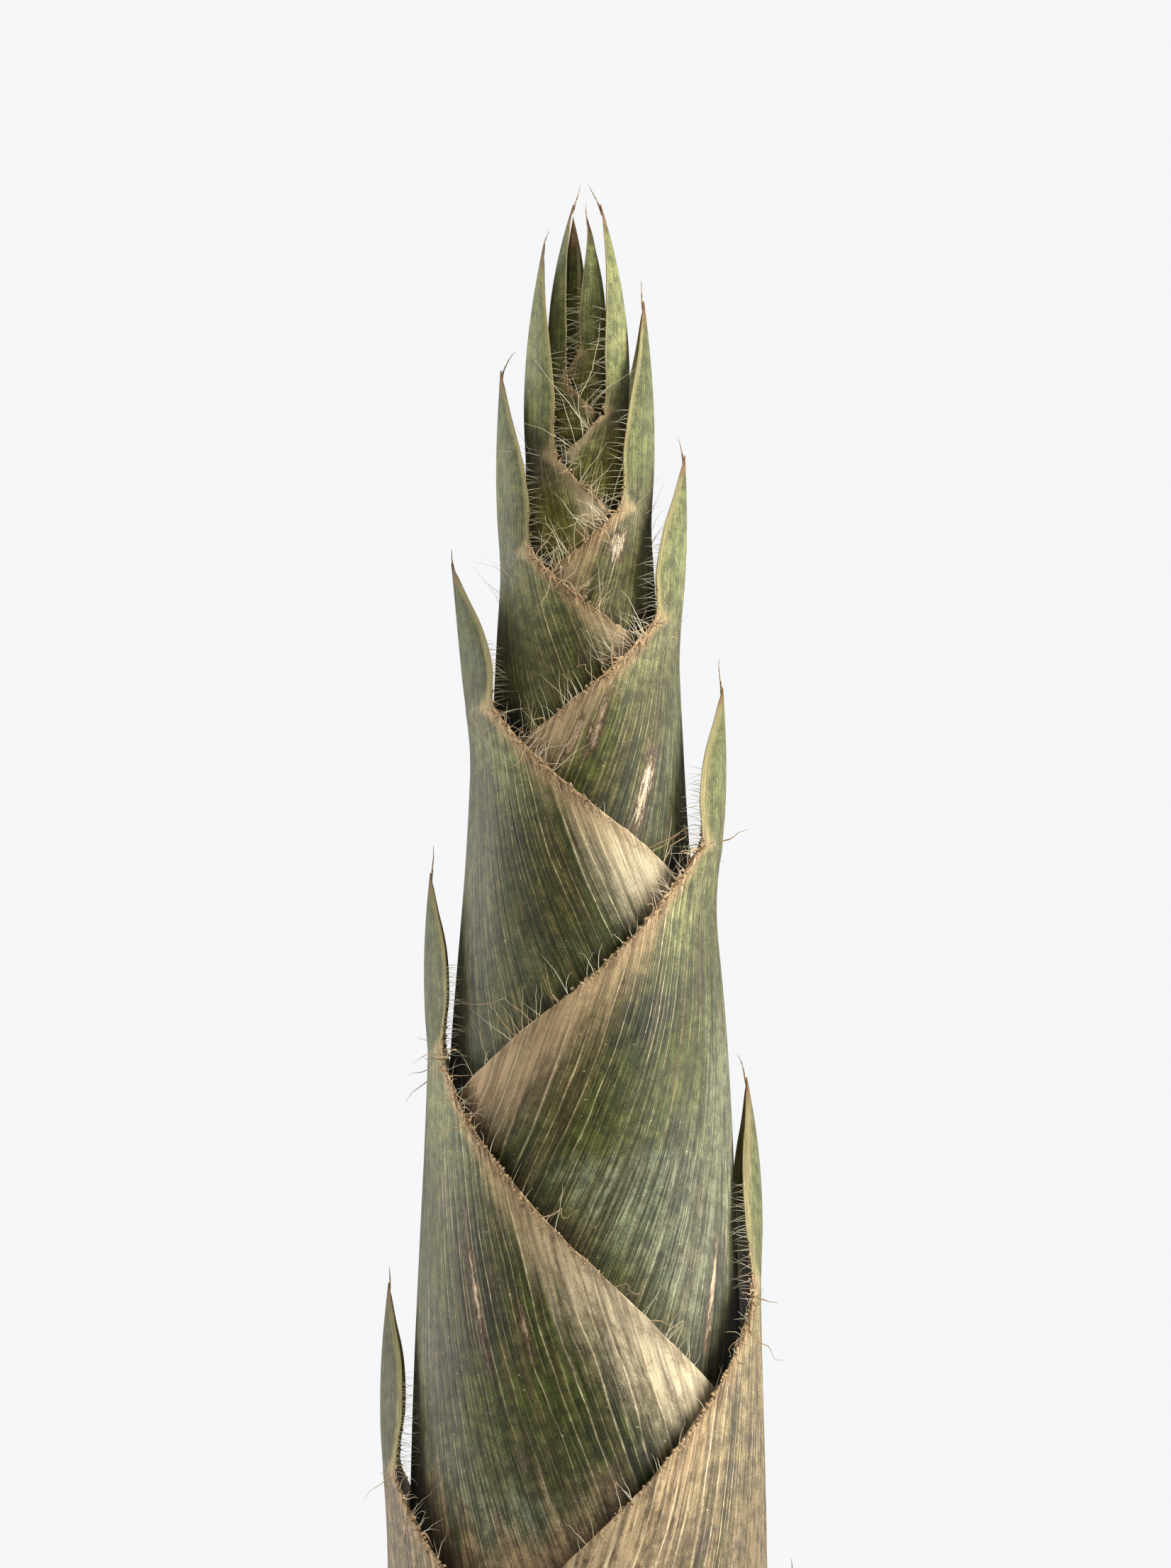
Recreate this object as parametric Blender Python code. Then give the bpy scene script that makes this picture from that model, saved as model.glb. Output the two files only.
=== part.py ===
"""Bamboo shoot, harvested: a tapering stem, cut level at its base, wrapped in two ranks of culm sheaths.

Each sheath is one grown leaf. It sits on a ledge of the stem (its node), is wrapped right round it,
opens in a notch on its far side, and ends in a ligule line with a boat-shaped blade that stands off
the shoot as a spike. The sheaths point left and right in turn, and each lower one lies outside the
next higher one. The innermost leaf is rolled shut into a spear.

Lengths are in millimetres here, and mesh_object() turns them into Blender's metres. +Z is up, the
origin is the middle of the cut face, and the two ranks of blades point along -X and +X.
"""

import math
from bisect import bisect_right
from collections import namedtuple

import bmesh
import bpy
from mathutils import Matrix, Vector

MM = 0.001

# The leaves, from the lowest to the highest. They point to -X and +X in turn.
# node:   height of the ledge that the sheath grows from
# ligule: height of the line where the sheath ends and the blade starts
# radius: outer radius of the closely wrapped shoot at that height
# flare:  how much further out the top of the sheath stands there
# drop:   how far below the ligule the sheath's two margins meet on the far side
# blade:  length of the blade; reach: how far its tip is from the shoot's axis
# turn:   degrees by which the leaf points off its rank
Leaf = namedtuple("Leaf", "node ligule radius flare drop blade reach turn")
LEAVES = (
    Leaf(9.2, 22.0, 26.3, 0.4, 9.5, 4.5, 27.2, 5.0),
    Leaf(11.5, 34.0, 27.0, 0.5, 18.0, 6.5, 28.3, -5.0),
    Leaf(15.0, 50.0, 27.2, 0.7, 29.0, 9.5, 28.2, 0.0),
    Leaf(20.0, 71.0, 26.5, 0.7, 45.0, 12.5, 27.3, -4.0),
    Leaf(32.0, 97.5, 24.9, 1.0, 60.0, 24.5, 25.1, 0.0),
    Leaf(52.0, 121.5, 22.8, 0.3, 64.0, 27.0, 21.2, 5.0),
    Leaf(70.0, 151.5, 20.0, 0.3, 55.5, 23.5, 19.7, 0.0),
    Leaf(102.0, 178.0, 16.4, 1.6, 39.0, 21.0, 18.0, 0.0),
    Leaf(134.0, 195.5, 14.1, 0.9, 28.0, 19.5, 17.0, 3.0),
    Leaf(162.0, 207.0, 12.2, 0.5, 23.5, 22.0, 13.1, 0.0),
    Leaf(184.0, 215.5, 10.3, 0.3, 16.5, 24.5, 10.6, 0.0),
    Leaf(199.0, 221.5, 8.6, 0.2, 14.5, 27.5, 7.8, 4.0),
    Leaf(209.0, 228.0, 7.2, 0.1, 13.5, 28.5, 5.0, 0.0),
    Leaf(217.0, 234.0, 5.7, 0.0, 10.5, 27.5, 2.2, 0.0),
    Leaf(224.0, 238.0, 4.3, 0.0, 8.0, 23.5, 1.2, 0.0),
    Leaf(230.0, 241.5, 2.9, 0.0, 6.5, 18.0, 0.8, -45.0),
)

SHEATH_THICKNESS = 0.65
LAYER_STEP = 1.3  # radius from one sheath to the next one inside it
SEAT_GAP = 0.3  # between a sheath's lower edge and the ledge it sits on
STEM_GAP = 0.4  # between the stem and the sheath round it

FLARE_SHARE = 0.3  # share of the sheath's drop over which its top leans out

SHOULDER_WIDTH = 10.0  # half the sheath's width along its ligule
SHOULDER_LEAST_RADIUS = 8.5
MARGIN_EASE = 0.88  # under 1 makes a margin leave the ligule more steeply

WAIST = 0.08  # share of the blade's length up to its narrow foot
BLADE_LEVELS = ((WAIST, 0.86), (0.3, 0.86), (0.55, 0.64), (0.78, 0.30), (1.0, 0.0))
BLADE_FOLD = math.radians(60)  # half the angle of the boat-shaped section near the tip
FOLDED_AT = 0.7  # share of the blade's length where it is folded that far
BLADE_LEAST_ARC = 1.0
BLADE_BULGE = 0.45  # how far the back of a blade that is BULGED_LENGTH or longer arches outwards
BULGED_LENGTH = 20.0
BLADE_SHARE = 0.55  # half the blade is at most this wide, in shares of its length

SPEAR_FOOT = 236.0
SPEAR_TIP = 260.0
SPEAR_RADIUS = 1.4
SPEAR_LEAN = 0.5  # how far the spear's middle is off the axis at its foot, and twice as far at its tip
SPEAR_LEVELS = ((0.0, 0.8), (0.3, 1.0), (0.6, 0.85), (0.82, 0.48))

# The stem below the lowest sheath as (radius, height) points, from the rim of the cut face up.
BASE_PROFILE = ((22.6, 0.0), (23.3, 0.6), (24.3, 3.6), (24.2, 5.0), (24.7, 8.4), (24.6, 9.2))
# The shoot below the first ligule, as (height, radius, number of ligules passed).
HULL_FOOT = ((-12.0, 22.6, -1.0), (8.0, 25.6, 0.0))

ROOT_BUD_ROWS = (2.7, 6.7)
ROOT_BUDS = 17
ROOT_BUD_SIDES = 5
ROOT_BUD_RADIUS = 0.95
ROOT_BUD_TIP_RADIUS = 0.38
ROOT_BUD_HEIGHT = 0.85
ROOT_BUD_SUNK = 1.3

BLADE_COLUMNS = 8
WIDE_COLUMNS, NARROW_COLUMNS = 10, 7  # from the blade round to the far side
NARROW_RADIUS = 9.0  # sheaths slimmer than this at the ligule take the fewer columns
ROW_HEIGHT = 13.0
LEAST_ROWS = 3
STEM_COLUMNS = 24
SPEAR_COLUMNS = 8

COLOURS = {
    "stem": ((0.80, 0.70, 0.48), 0.55),
    "sheath_low": ((0.36, 0.31, 0.19), 0.70),
    "sheath_green": ((0.22, 0.26, 0.12), 0.60),
    "sheath_tip": ((0.30, 0.35, 0.14), 0.50),
}


def smooth(x, xs, ys):
    """ys at x on a smooth curve through the points (xs, ys), carried on straight past the ends."""
    slopes = []
    for k in range(len(xs)):
        low, high = max(k - 1, 0), min(k + 1, len(xs) - 1)
        slopes.append((ys[high] - ys[low]) / (xs[high] - xs[low]))
    k = min(max(bisect_right(xs, x) - 1, 0), len(xs) - 2)
    width = xs[k + 1] - xs[k]
    t = (x - xs[k]) / width
    if t < 0 or t > 1:
        end = k if t < 0 else k + 1
        return ys[end] + slopes[end] * (x - xs[end])
    rise = (3 - 2 * t) * t**2
    bend = width * (t * (1 - t) ** 2 * slopes[k] - t**2 * (1 - t) * slopes[k + 1])
    return ys[k] + rise * (ys[k + 1] - ys[k]) + bend


HEIGHTS = [foot[0] for foot in HULL_FOOT] + [leaf.ligule for leaf in LEAVES]
RADII = [foot[1] for foot in HULL_FOOT] + [leaf.radius for leaf in LEAVES]
COUNTS = [foot[2] for foot in HULL_FOOT] + list(range(1, len(LEAVES) + 1))


def sheath_radius(number, z):
    """Outer radius of a sheath: the whole shoot's, less a step for each sheath that lies outside it."""
    return smooth(z, HEIGHTS, RADII) + LAYER_STEP * (smooth(z, HEIGHTS, COUNTS) - number)


def shoulder_angle(leaf):
    """Half the angle round the shoot that the ligule takes."""
    return SHOULDER_WIDTH / max(leaf.radius, SHOULDER_LEAST_RADIUS)


def margin_height(leaf, angle):
    """Height of the sheath's upper edge at an angle from the middle of its blade."""
    shoulder = shoulder_angle(leaf)
    share = max(0.0, (abs(angle) - shoulder) / (math.pi - shoulder))
    return leaf.ligule - leaf.drop * share**MARGIN_EASE


def column_angles(leaf):
    """Directions of the leaf's columns, close together under the blade and wider apart round the back."""
    shoulder = shoulder_angle(leaf)
    side = NARROW_COLUMNS if leaf.radius < NARROW_RADIUS else WIDE_COLUMNS
    back = [shoulder + (math.pi - shoulder) * k / side for k in range(1, side + 1)]
    front = [shoulder * (2 * k / BLADE_COLUMNS - 1) for k in range(BLADE_COLUMNS + 1)]
    return [-angle for angle in reversed(back)] + front + back


def flare(leaf, angle, z):
    """How far the top of a sheath stands out, most under the blade and not at all on the far side."""
    rise = max(0.0, 1 - (leaf.ligule - z) / (FLARE_SHARE * leaf.drop))
    return leaf.flare * rise**2 * math.cos(angle / 2) ** 2


def sheath_column(number, leaf, angle, rows, inset):
    """Points up one line of the sheath, from its foot to its upper edge."""
    foot = leaf.node + SEAT_GAP
    top = margin_height(leaf, angle)
    points = []
    for k in range(rows + 1):
        z = foot + (top - foot) * k / rows
        radius = sheath_radius(number, z) + flare(leaf, angle, z) - inset
        points.append(Vector((radius * math.cos(angle), radius * math.sin(angle), z)))
    return points


def blade_column(leaf, across, inset):
    """Points up one line of the blade above the ligule; across runs from -1 to 1 between its edges."""
    shoulder = shoulder_angle(leaf)
    foot_reach = leaf.radius + leaf.flare
    width = min(shoulder * leaf.radius, BLADE_SHARE * leaf.blade)
    points = []
    for share, taper in BLADE_LEVELS:
        fold = shoulder + (BLADE_FOLD - shoulder) * min(1.0, share / FOLDED_AT)
        arc = max(min(width * taper / fold, leaf.radius), BLADE_LEAST_ARC)
        angle = across * width * taper / arc
        bulge = BLADE_BULGE * math.sin(math.pi * share) * min(1.0, leaf.blade / BULGED_LENGTH)
        middle = foot_reach + (leaf.reach - foot_reach) * share**2 + bulge - arc
        reach = arc - inset
        z = leaf.ligule + leaf.blade * share
        points.append(Vector((middle + reach * math.cos(angle), reach * math.sin(angle), z)))
    return points


def leaf_direction(number, turn=0.0):
    """Turn from +X to a leaf's own side: odd ones point to -X, even ones to +X."""
    return Matrix.Rotation(math.radians(turn + (180 if number % 2 else 0)), 3, "Z")


def leaf_grid(bm, number, leaf, inset):
    """One face of the leaf as columns of vertices. The first column is the last, and the tip is one vertex."""
    angles = column_angles(leaf)
    direction = leaf_direction(number, leaf.turn)
    rows = max(LEAST_ROWS, round((leaf.ligule - leaf.node) / ROW_HEIGHT))
    shoulder = shoulder_angle(leaf) + 1e-6
    tip = bm.verts.new(direction @ blade_column(leaf, 0.0, inset)[-1])
    columns = []
    for angle in angles[:-1]:
        points = sheath_column(number, leaf, angle, rows, inset)
        has_blade = abs(angle) < shoulder
        if has_blade:
            points += blade_column(leaf, angle / shoulder, inset)[:-1]
        column = [bm.verts.new(direction @ point) for point in points]
        columns.append(column + [tip] if has_blade else column)
    return columns + columns[:1]


def add_face(bm, *corners):
    """A face of the corners that differ, in their order."""
    bm.faces.new(list(dict.fromkeys(corners)))


def leaf_mesh(number, leaf):
    """One sheath with its blade: an outer and an inner face, joined along the foot and the free edge."""
    bm = bmesh.new()
    outer = leaf_grid(bm, number, leaf, 0.0)
    inner = leaf_grid(bm, number, leaf, SHEATH_THICKNESS)
    for j in range(len(outer) - 1):
        a, b, c, d = outer[j], outer[j + 1], inner[j], inner[j + 1]
        add_face(bm, b[0], a[0], c[0], d[0])
        common = min(len(a), len(b))
        for k in range(common - 1):
            add_face(bm, a[k], b[k], b[k + 1], a[k + 1])
            add_face(bm, d[k], c[k], c[k + 1], d[k + 1])
        if len(a) == len(b) and a[-1] is b[-1]:
            continue
        add_face(bm, a[common - 1], b[common - 1], d[common - 1], c[common - 1])
        taller, inside, down = (b, d, False) if len(b) > len(a) else (a, c, True)
        for k in range(common - 1, len(taller) - 1):
            edge = (taller[k], taller[k + 1], inside[k + 1], inside[k])
            add_face(bm, *(reversed(edge) if down else edge))
    bmesh.ops.triangulate(bm, faces=bm.faces, quad_method="SHORT_EDGE")
    bmesh.ops.recalc_face_normals(bm, faces=bm.faces)
    return bm


def spear_mesh():
    """The innermost leaf, rolled shut: a slim closed spike that leans to its own side."""
    side = leaf_direction(len(LEAVES) + 1) @ Vector((1, 0, 0))
    foot = SPEAR_FOOT + SEAT_GAP
    bm = bmesh.new()
    rings = []
    for share, swell in SPEAR_LEVELS:
        middle = side * SPEAR_LEAN * (1 + share) + Vector((0, 0, foot + share * (SPEAR_TIP - foot)))
        ring = []
        for j in range(SPEAR_COLUMNS):
            angle = 2 * math.pi * j / SPEAR_COLUMNS
            offset = Vector((math.cos(angle), math.sin(angle), 0)) * SPEAR_RADIUS * swell
            ring.append(bm.verts.new(middle + offset))
        rings.append(ring)
    tip = bm.verts.new(side * SPEAR_LEAN * 2 + Vector((0, 0, SPEAR_TIP)))
    rings.append([tip] * SPEAR_COLUMNS)
    bm.faces.new(reversed(rings[0]))
    for lower, upper in zip(rings, rings[1:]):
        for j in range(SPEAR_COLUMNS):
            k = (j + 1) % SPEAR_COLUMNS
            add_face(bm, lower[j], lower[k], upper[k], upper[j])
    return bm


def stem_profile():
    """(radius, height) points of the stem: the bare base, then one ledge for each leaf that grows from it."""
    points = list(BASE_PROFILE)
    nodes = [leaf.node for leaf in LEAVES] + [SPEAR_FOOT]
    inset = SHEATH_THICKNESS + STEM_GAP
    for number, (low, high) in enumerate(zip(nodes, nodes[1:]), start=1):
        steps = max(1, round((high - low) / ROW_HEIGHT))
        for k in range(steps + 1):
            z = low + (high - low) * k / steps
            points.append((sheath_radius(number, z) - inset, z))
    return points


def stem_mesh():
    """The stem as a turned solid: its profile, spun round the axis and closed at both ends."""
    outline = [(0.0, 0.0), *stem_profile(), (0.0, SPEAR_FOOT)]
    bm = bmesh.new()
    verts = [bm.verts.new((radius, 0.0, z)) for radius, z in outline]
    edges = [bm.edges.new(pair) for pair in zip(verts, verts[1:])]
    bmesh.ops.spin(
        bm,
        geom=verts + edges,
        cent=(0, 0, 0),
        axis=(0, 0, 1),
        angle=2 * math.pi,
        steps=STEM_COLUMNS,
        use_merge=True,
    )
    bmesh.ops.remove_doubles(bm, verts=bm.verts, dist=0.001)
    bmesh.ops.recalc_face_normals(bm, faces=bm.faces)
    return bm


def root_bud_mesh(z, angle):
    """A small blunt cone that points out of the stem's bare base, its root sunk well in."""
    surface = smooth(z, [point[1] for point in BASE_PROFILE], [point[0] for point in BASE_PROFILE])
    depth = ROOT_BUD_HEIGHT + ROOT_BUD_SUNK
    outwards = surface + ROOT_BUD_HEIGHT - depth / 2
    place = (
        Matrix.Rotation(angle, 4, "Z")
        @ Matrix.Translation((outwards, 0.0, z))
        @ Matrix.Rotation(math.pi / 2, 4, "Y")
    )
    bm = bmesh.new()
    bmesh.ops.create_cone(
        bm,
        cap_ends=True,
        segments=ROOT_BUD_SIDES,
        radius1=ROOT_BUD_RADIUS,
        radius2=ROOT_BUD_TIP_RADIUS,
        depth=depth,
        matrix=place,
    )
    return bm


def material(name):
    """The named finish as a Principled material, made once."""
    if name in bpy.data.materials:
        return bpy.data.materials[name]
    colour, roughness = COLOURS[name]
    made = bpy.data.materials.new(name)
    made.use_nodes = True
    shader = made.node_tree.nodes["Principled BSDF"]
    shader.inputs["Base Color"].default_value = (*colour, 1.0)
    shader.inputs["Roughness"].default_value = roughness
    shader.inputs["Metallic"].default_value = 0.0
    return made


def mesh_object(name, bm, finish, collection=None):
    """An object from a bmesh in millimetres, shaded smooth between its sharp edges."""
    bmesh.ops.scale(bm, vec=(MM, MM, MM), verts=bm.verts)
    mesh = bpy.data.meshes.new(name)
    bm.to_mesh(mesh)
    bm.free()
    mesh.shade_smooth()
    mesh.set_sharp_from_angle(angle=math.radians(40))
    mesh.materials.append(material(finish))
    made = bpy.data.objects.new(name, mesh)
    (collection or bpy.context.scene.collection).objects.link(made)
    return made


def fuse_root_buds(stem):
    """Joins two staggered rings of root buds to the stem's bare base."""
    buds = bpy.data.collections.new("root_buds")
    bpy.context.scene.collection.children.link(buds)
    for row, z in enumerate(ROOT_BUD_ROWS):
        for k in range(ROOT_BUDS):
            angle = 2 * math.pi * (k + 0.5 * row) / ROOT_BUDS
            mesh_object(f"root_bud_{row}_{k}", root_bud_mesh(z, angle), "stem", buds)
    union = stem.modifiers.new("root_buds", "BOOLEAN")
    union.operation = "UNION"
    union.operand_type = "COLLECTION"
    union.collection = buds
    union.solver = "EXACT"
    with bpy.context.temp_override(object=stem):
        bpy.ops.object.modifier_apply(modifier=union.name)
    for bud in list(buds.objects):
        bpy.data.objects.remove(bud)
    bpy.data.collections.remove(buds)


def sheath_finish(number):
    if number <= 4:
        return "sheath_low"
    return "sheath_green" if number <= 12 else "sheath_tip"


def main():
    for old in list(bpy.data.objects):
        bpy.data.objects.remove(old)
    fuse_root_buds(mesh_object("stem", stem_mesh(), "stem"))
    for number, leaf in enumerate(LEAVES, start=1):
        mesh_object(f"sheath_{number:02d}", leaf_mesh(number, leaf), sheath_finish(number))
    mesh_object("spear_leaf", spear_mesh(), "sheath_tip")


main()
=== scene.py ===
"""Finished look of the bamboo shoot: fine leaves, stem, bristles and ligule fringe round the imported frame."""

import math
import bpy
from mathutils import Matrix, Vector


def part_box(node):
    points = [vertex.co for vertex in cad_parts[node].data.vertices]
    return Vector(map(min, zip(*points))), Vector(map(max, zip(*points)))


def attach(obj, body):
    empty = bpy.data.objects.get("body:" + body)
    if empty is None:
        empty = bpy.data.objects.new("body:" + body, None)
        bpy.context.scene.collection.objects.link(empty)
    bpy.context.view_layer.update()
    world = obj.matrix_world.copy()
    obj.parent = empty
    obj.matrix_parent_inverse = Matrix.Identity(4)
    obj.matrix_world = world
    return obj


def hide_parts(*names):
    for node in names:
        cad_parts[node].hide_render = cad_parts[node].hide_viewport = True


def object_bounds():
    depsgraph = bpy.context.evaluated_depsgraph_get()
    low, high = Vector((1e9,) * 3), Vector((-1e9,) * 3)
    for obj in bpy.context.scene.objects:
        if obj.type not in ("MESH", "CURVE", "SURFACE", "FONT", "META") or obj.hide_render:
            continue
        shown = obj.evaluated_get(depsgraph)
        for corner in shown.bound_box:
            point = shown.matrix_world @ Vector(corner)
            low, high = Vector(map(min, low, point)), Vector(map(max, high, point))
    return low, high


bl_info = {
    "name": "Bamboo Shoot",
    "version": (1, 0, 0),
    "blender": (4, 5, 0),
    "location": "View3D > Sidebar > Shoot",
    "description": "Dresses the packed frame of a bamboo shoot with fine leaves, hairs and a studio stage",
    "category": "Add Mesh",
}

from collections import namedtuple

import bpy
import numpy as np
from bpy.props import FloatProperty, FloatVectorProperty, IntProperty, PointerProperty
from mathutils import Vector

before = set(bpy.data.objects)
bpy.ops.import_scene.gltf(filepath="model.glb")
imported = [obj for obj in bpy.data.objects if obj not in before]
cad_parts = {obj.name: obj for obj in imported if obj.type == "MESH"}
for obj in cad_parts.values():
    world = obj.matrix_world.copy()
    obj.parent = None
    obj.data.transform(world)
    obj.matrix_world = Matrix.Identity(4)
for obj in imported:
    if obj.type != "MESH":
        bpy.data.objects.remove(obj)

MM = 0.001
CAD_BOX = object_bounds()

# ---- The shoot's form, by the same laws as its frame. Lengths are in millimetres, angles in radians. ----

# ligule: height of the line where the sheath ends and the blade starts
# radius: outer radius of the closely wrapped shoot there; flare: how much further out the leaf stands
# drop:   how far below the ligule the sheath's margins meet on the far side
# reach:  how far the blade's tip is from the axis; turn: degrees that the leaf points off its rank
# veins:  main veins round the whole sheath
LeafShape = namedtuple("LeafShape", "ligule radius flare drop reach turn veins")
LEAF_SHAPES = [
    LeafShape(*row)
    for row in (
        (22.0, 26.3, 0.4, 9.5, 27.2, 5.0, 72),
        (34.0, 27.0, 0.5, 18.0, 28.3, -5.0, 72),
        (50.0, 27.2, 0.7, 29.0, 28.2, 0.0, 72),
        (71.0, 26.5, 0.7, 45.0, 27.3, -4.0, 72),
        (97.5, 24.9, 1.0, 60.0, 25.1, 0.0, 72),
        (121.5, 22.8, 0.3, 64.0, 21.2, 5.0, 72),
        (151.5, 20.0, 0.3, 55.5, 19.7, 0.0, 74),
        (178.0, 16.4, 1.6, 39.0, 18.0, 0.0, 72),
        (195.5, 14.1, 0.9, 28.0, 17.0, 3.0, 64),
        (207.0, 12.2, 0.5, 23.5, 13.1, 0.0, 60),
        (215.5, 10.3, 0.3, 16.5, 10.6, 0.0, 56),
        (221.5, 8.6, 0.2, 14.5, 7.8, 4.0, 50),
        (228.0, 7.2, 0.1, 13.5, 5.0, 0.0, 46),
        (234.0, 5.7, 0.0, 10.5, 2.2, 0.0, 40),
        (238.0, 4.3, 0.0, 8.0, 1.2, 0.0, 36),
        (241.5, 2.9, 0.0, 6.5, 0.8, -45.0, 32),
    )
]
# How each leaf looks; shares run from 0 to 1, and those of hairs and crust are of the usual number.
# dry:    how tan the sheath is all over; band: width of the dry band in millimetres; pink: its tint
# pale:   how creamy the band's lower end is; fresh: yellow-green of young leaves
# stain:  purple-brown below the ligule; spoiled: brown streaks and blotches; blade: how light the blade is
# trim:   how many times the dry margin is narrowed on the blade
# hairy:  hairs on the margins; bloom: grey waxy bloom
# shreds: torn shreds of the ligule; fibres: number of straight ones at each of its corners; crust: crumbs
# From leaf 5 up the left-hand leaves have darker blades and, from leaf 7 up, less bloom and so darker green;
# both are partly painted shade on that side
LOOK_FIELDS = "dry band pink pale fresh stain spoiled blade trim hairy bloom shreds fibres crust"
LeafLook = namedtuple("LeafLook", LOOK_FIELDS)
LEAF_LOOKS = [
    LeafLook(*row)
    for row in (
        (0.95, 6.0, 0.3, 0.2, 0.0, 0.2, 0.9, 0.4, 1.5, 0.0, 1.0, 0.3, 3, 1.0),
        (0.9, 6.0, 0.3, 0.2, 0.0, 0.2, 0.8, 0.4, 1.5, 0.0, 1.0, 0.3, 3, 1.0),
        (0.8, 6.0, 0.3, 0.2, 0.0, 0.3, 0.8, 0.4, 1.5, 0.3, 1.0, 0.3, 3, 1.0),
        (0.7, 6.0, 0.3, 0.2, 0.0, 0.4, 0.7, 0.4, 1.5, 0.3, 1.0, 0.3, 3, 1.0),
        (0.55, 5.0, 0.3, 0.3, 0.0, 0.3, 0.9, 0.0, 5.0, 0.3, 1.0, 0.3, 3, 1.0),
        (0.3, 8.0, 0.5, 0.2, 0.1, 0.3, 1.0, 0.35, 4.0, 0.3, 1.0, 1.0, 8, 1.0),
        (0.0, 5.5, 0.3, 0.7, 0.0, 0.2, 0.7, 0.2, 6.0, 0.5, 0.85, 1.0, 8, 1.0),
        (0.0, 5.5, 0.85, 0.1, 0.05, 0.3, 0.4, 0.5, 3.5, 0.8, 1.0, 1.0, 8, 1.0),
        (0.0, 6.0, 0.2, 0.9, 0.05, 0.4, 0.25, 0.1, 6.0, 0.6, 0.3, 1.0, 8, 1.0),
        (0.0, 5.0, 0.5, 0.3, 0.15, 0.4, 0.35, 0.8, 5.0, 1.8, 0.85, 1.0, 8, 1.0),
        (0.0, 4.6, 0.1, 1.0, 0.2, 0.4, 0.1, 0.3, 7.0, 0.9, 0.2, 1.0, 8, 1.0),
        (0.0, 5.0, 0.4, 0.5, 0.35, 0.5, 0.2, 0.45, 7.0, 1.4, 0.6, 1.0, 8, 0.35),
        (0.0, 4.2, 0.0, 1.0, 0.9, 0.9, 0.0, 0.4, 7.0, 1.3, 0.4, 0.3, 8, 0.12),
        (0.0, 2.0, 0.0, 0.8, 0.9, 0.6, 0.0, 0.9, 7.0, 1.3, 0.3, 0.05, 1, 0.12),
        (0.0, 1.2, 0.0, 0.5, 0.6, 0.3, 0.05, 0.3, 6.0, 1.0, 0.3, 0.05, 1, 0.12),
        (0.0, 1.0, 0.0, 0.5, 0.8, 0.2, 0.0, 0.8, 6.0, 1.0, 0.3, 0.05, 1, 0.12),
    )
]
SPEAR_LOOK = LeafLook(0.0, 0.5, 0.0, 0.0, 0.2, 0.0, 0.0, 0.0, 3.0, 0.0, 0.3, 0.0, 0, 0.0)
OLD_LEAVES = 7  # the outer leaves that are brown near their feet
FIRST_COMBED = 5  # the first leaf with a comb of hairs beside its blade
FIRST_YOUNG = 12  # the first of the young leaves at the tip
SHREDDED_LEAVES = range(7, 13)  # leaves with long shreds hanging off their margins
TYPICAL_RADIUS = 18.0  # of the leaf whose patterns are drawn at full size

# (height, radius, number of ligules passed) of the shoot below its first ligule
HULL_FOOT = ((-12.0, 22.6, -1.0), (8.0, 25.6, 0.0))
LAYER_STEP = 1.3  # radius from one sheath to the next one inside it
FLARE_SHARE = 0.3  # share of the sheath's drop over which its top leans out
SHOULDER_WIDTH = 10.0  # half the sheath's width along its ligule
SHOULDER_LEAST_RADIUS = 8.5  # sheaths slimmer than this have a narrower ligule
MARGIN_EASE = 0.88  # under 1 makes a margin leave the ligule more steeply
VEIN_PULL = 0.75  # 0 keeps the veins upright, 1 draws them all into the blade
FAN_DEPTH = 1.9  # the veins start to fan this many drops below the ligule
FAN_EASE = 1.7
STEEP_DROP = 1.5  # margins that drop less than this many radii draw their veins in less
# (share of the blade's length, width as a share of its foot's), with a narrow waist above the foot
BLADE_TAPER = (
    (0.0, 1.0),
    (0.04, 0.88),
    (0.1, 0.82),
    (0.2, 0.84),
    (0.3, 0.86),
    (0.55, 0.64),
    (0.78, 0.3),
    (1.0, 0.0),
)
BLADE_FOLD = math.radians(60)  # half the angle of the boat-shaped section near the tip
FOLDED_AT = 0.7  # share of the blade's length where it is folded that far
BLADE_BULGE = 0.45  # how far the back of a blade that is BULGED_LENGTH or longer arches outwards
BULGED_LENGTH = 20.0
BLADE_LEAST_ARC = 1.0
BLADE_SHARE = 0.55  # half the blade is at most this wide, in shares of its length
SEAT_GAP = 0.3  # between a sheath's lower edge and the ledge it sits on
STEM_INSET = 1.05  # from a sheath's outside to the stem under it

# (radius, height) points of the bare base, from its flat cut up to the lowest leaf
BASE_PROFILE = ((22.6, 0.0), (23.3, 0.6), (24.3, 3.6), (24.2, 5.0), (24.7, 8.4), (24.6, 9.2))
ROOT_BUD_ROWS = (2.7, 6.7)
ROOT_BUDS = 17
ROOT_BUD_RADIUS = 0.95
ROOT_BUD_TAPER = 0.4  # radius of a bud's tip, as a share of its foot's
ROOT_BUD_HEIGHT = 0.85  # how far a bud stands out
ROOT_BUD_DEPTH = 2.1  # its whole length, most of it sunk in the stem

SPEAR_RADIUS = 1.65
SPEAR_LEAN = 0.65  # how far its middle is off the axis at its foot, and twice as far at its tip
SPEAR_LEVELS = ((0.0, 0.8), (0.3, 1.0), (0.6, 0.85), (0.82, 0.48))
SPEAR_TWIST = 1.2  # how far the seam winds round from foot to tip
SPEAR_SEAM = 4.4  # where round the spear the seam starts
SPEAR_STEP = 0.16  # height of the step at the seam
SPEAR_VEINS = 16

HULL = [*HULL_FOOT, *((shape.ligule, shape.radius, number) for number, shape in enumerate(LEAF_SHAPES, 1))]
HEIGHTS, RADII, COUNTS = np.array(HULL, float).T


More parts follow.
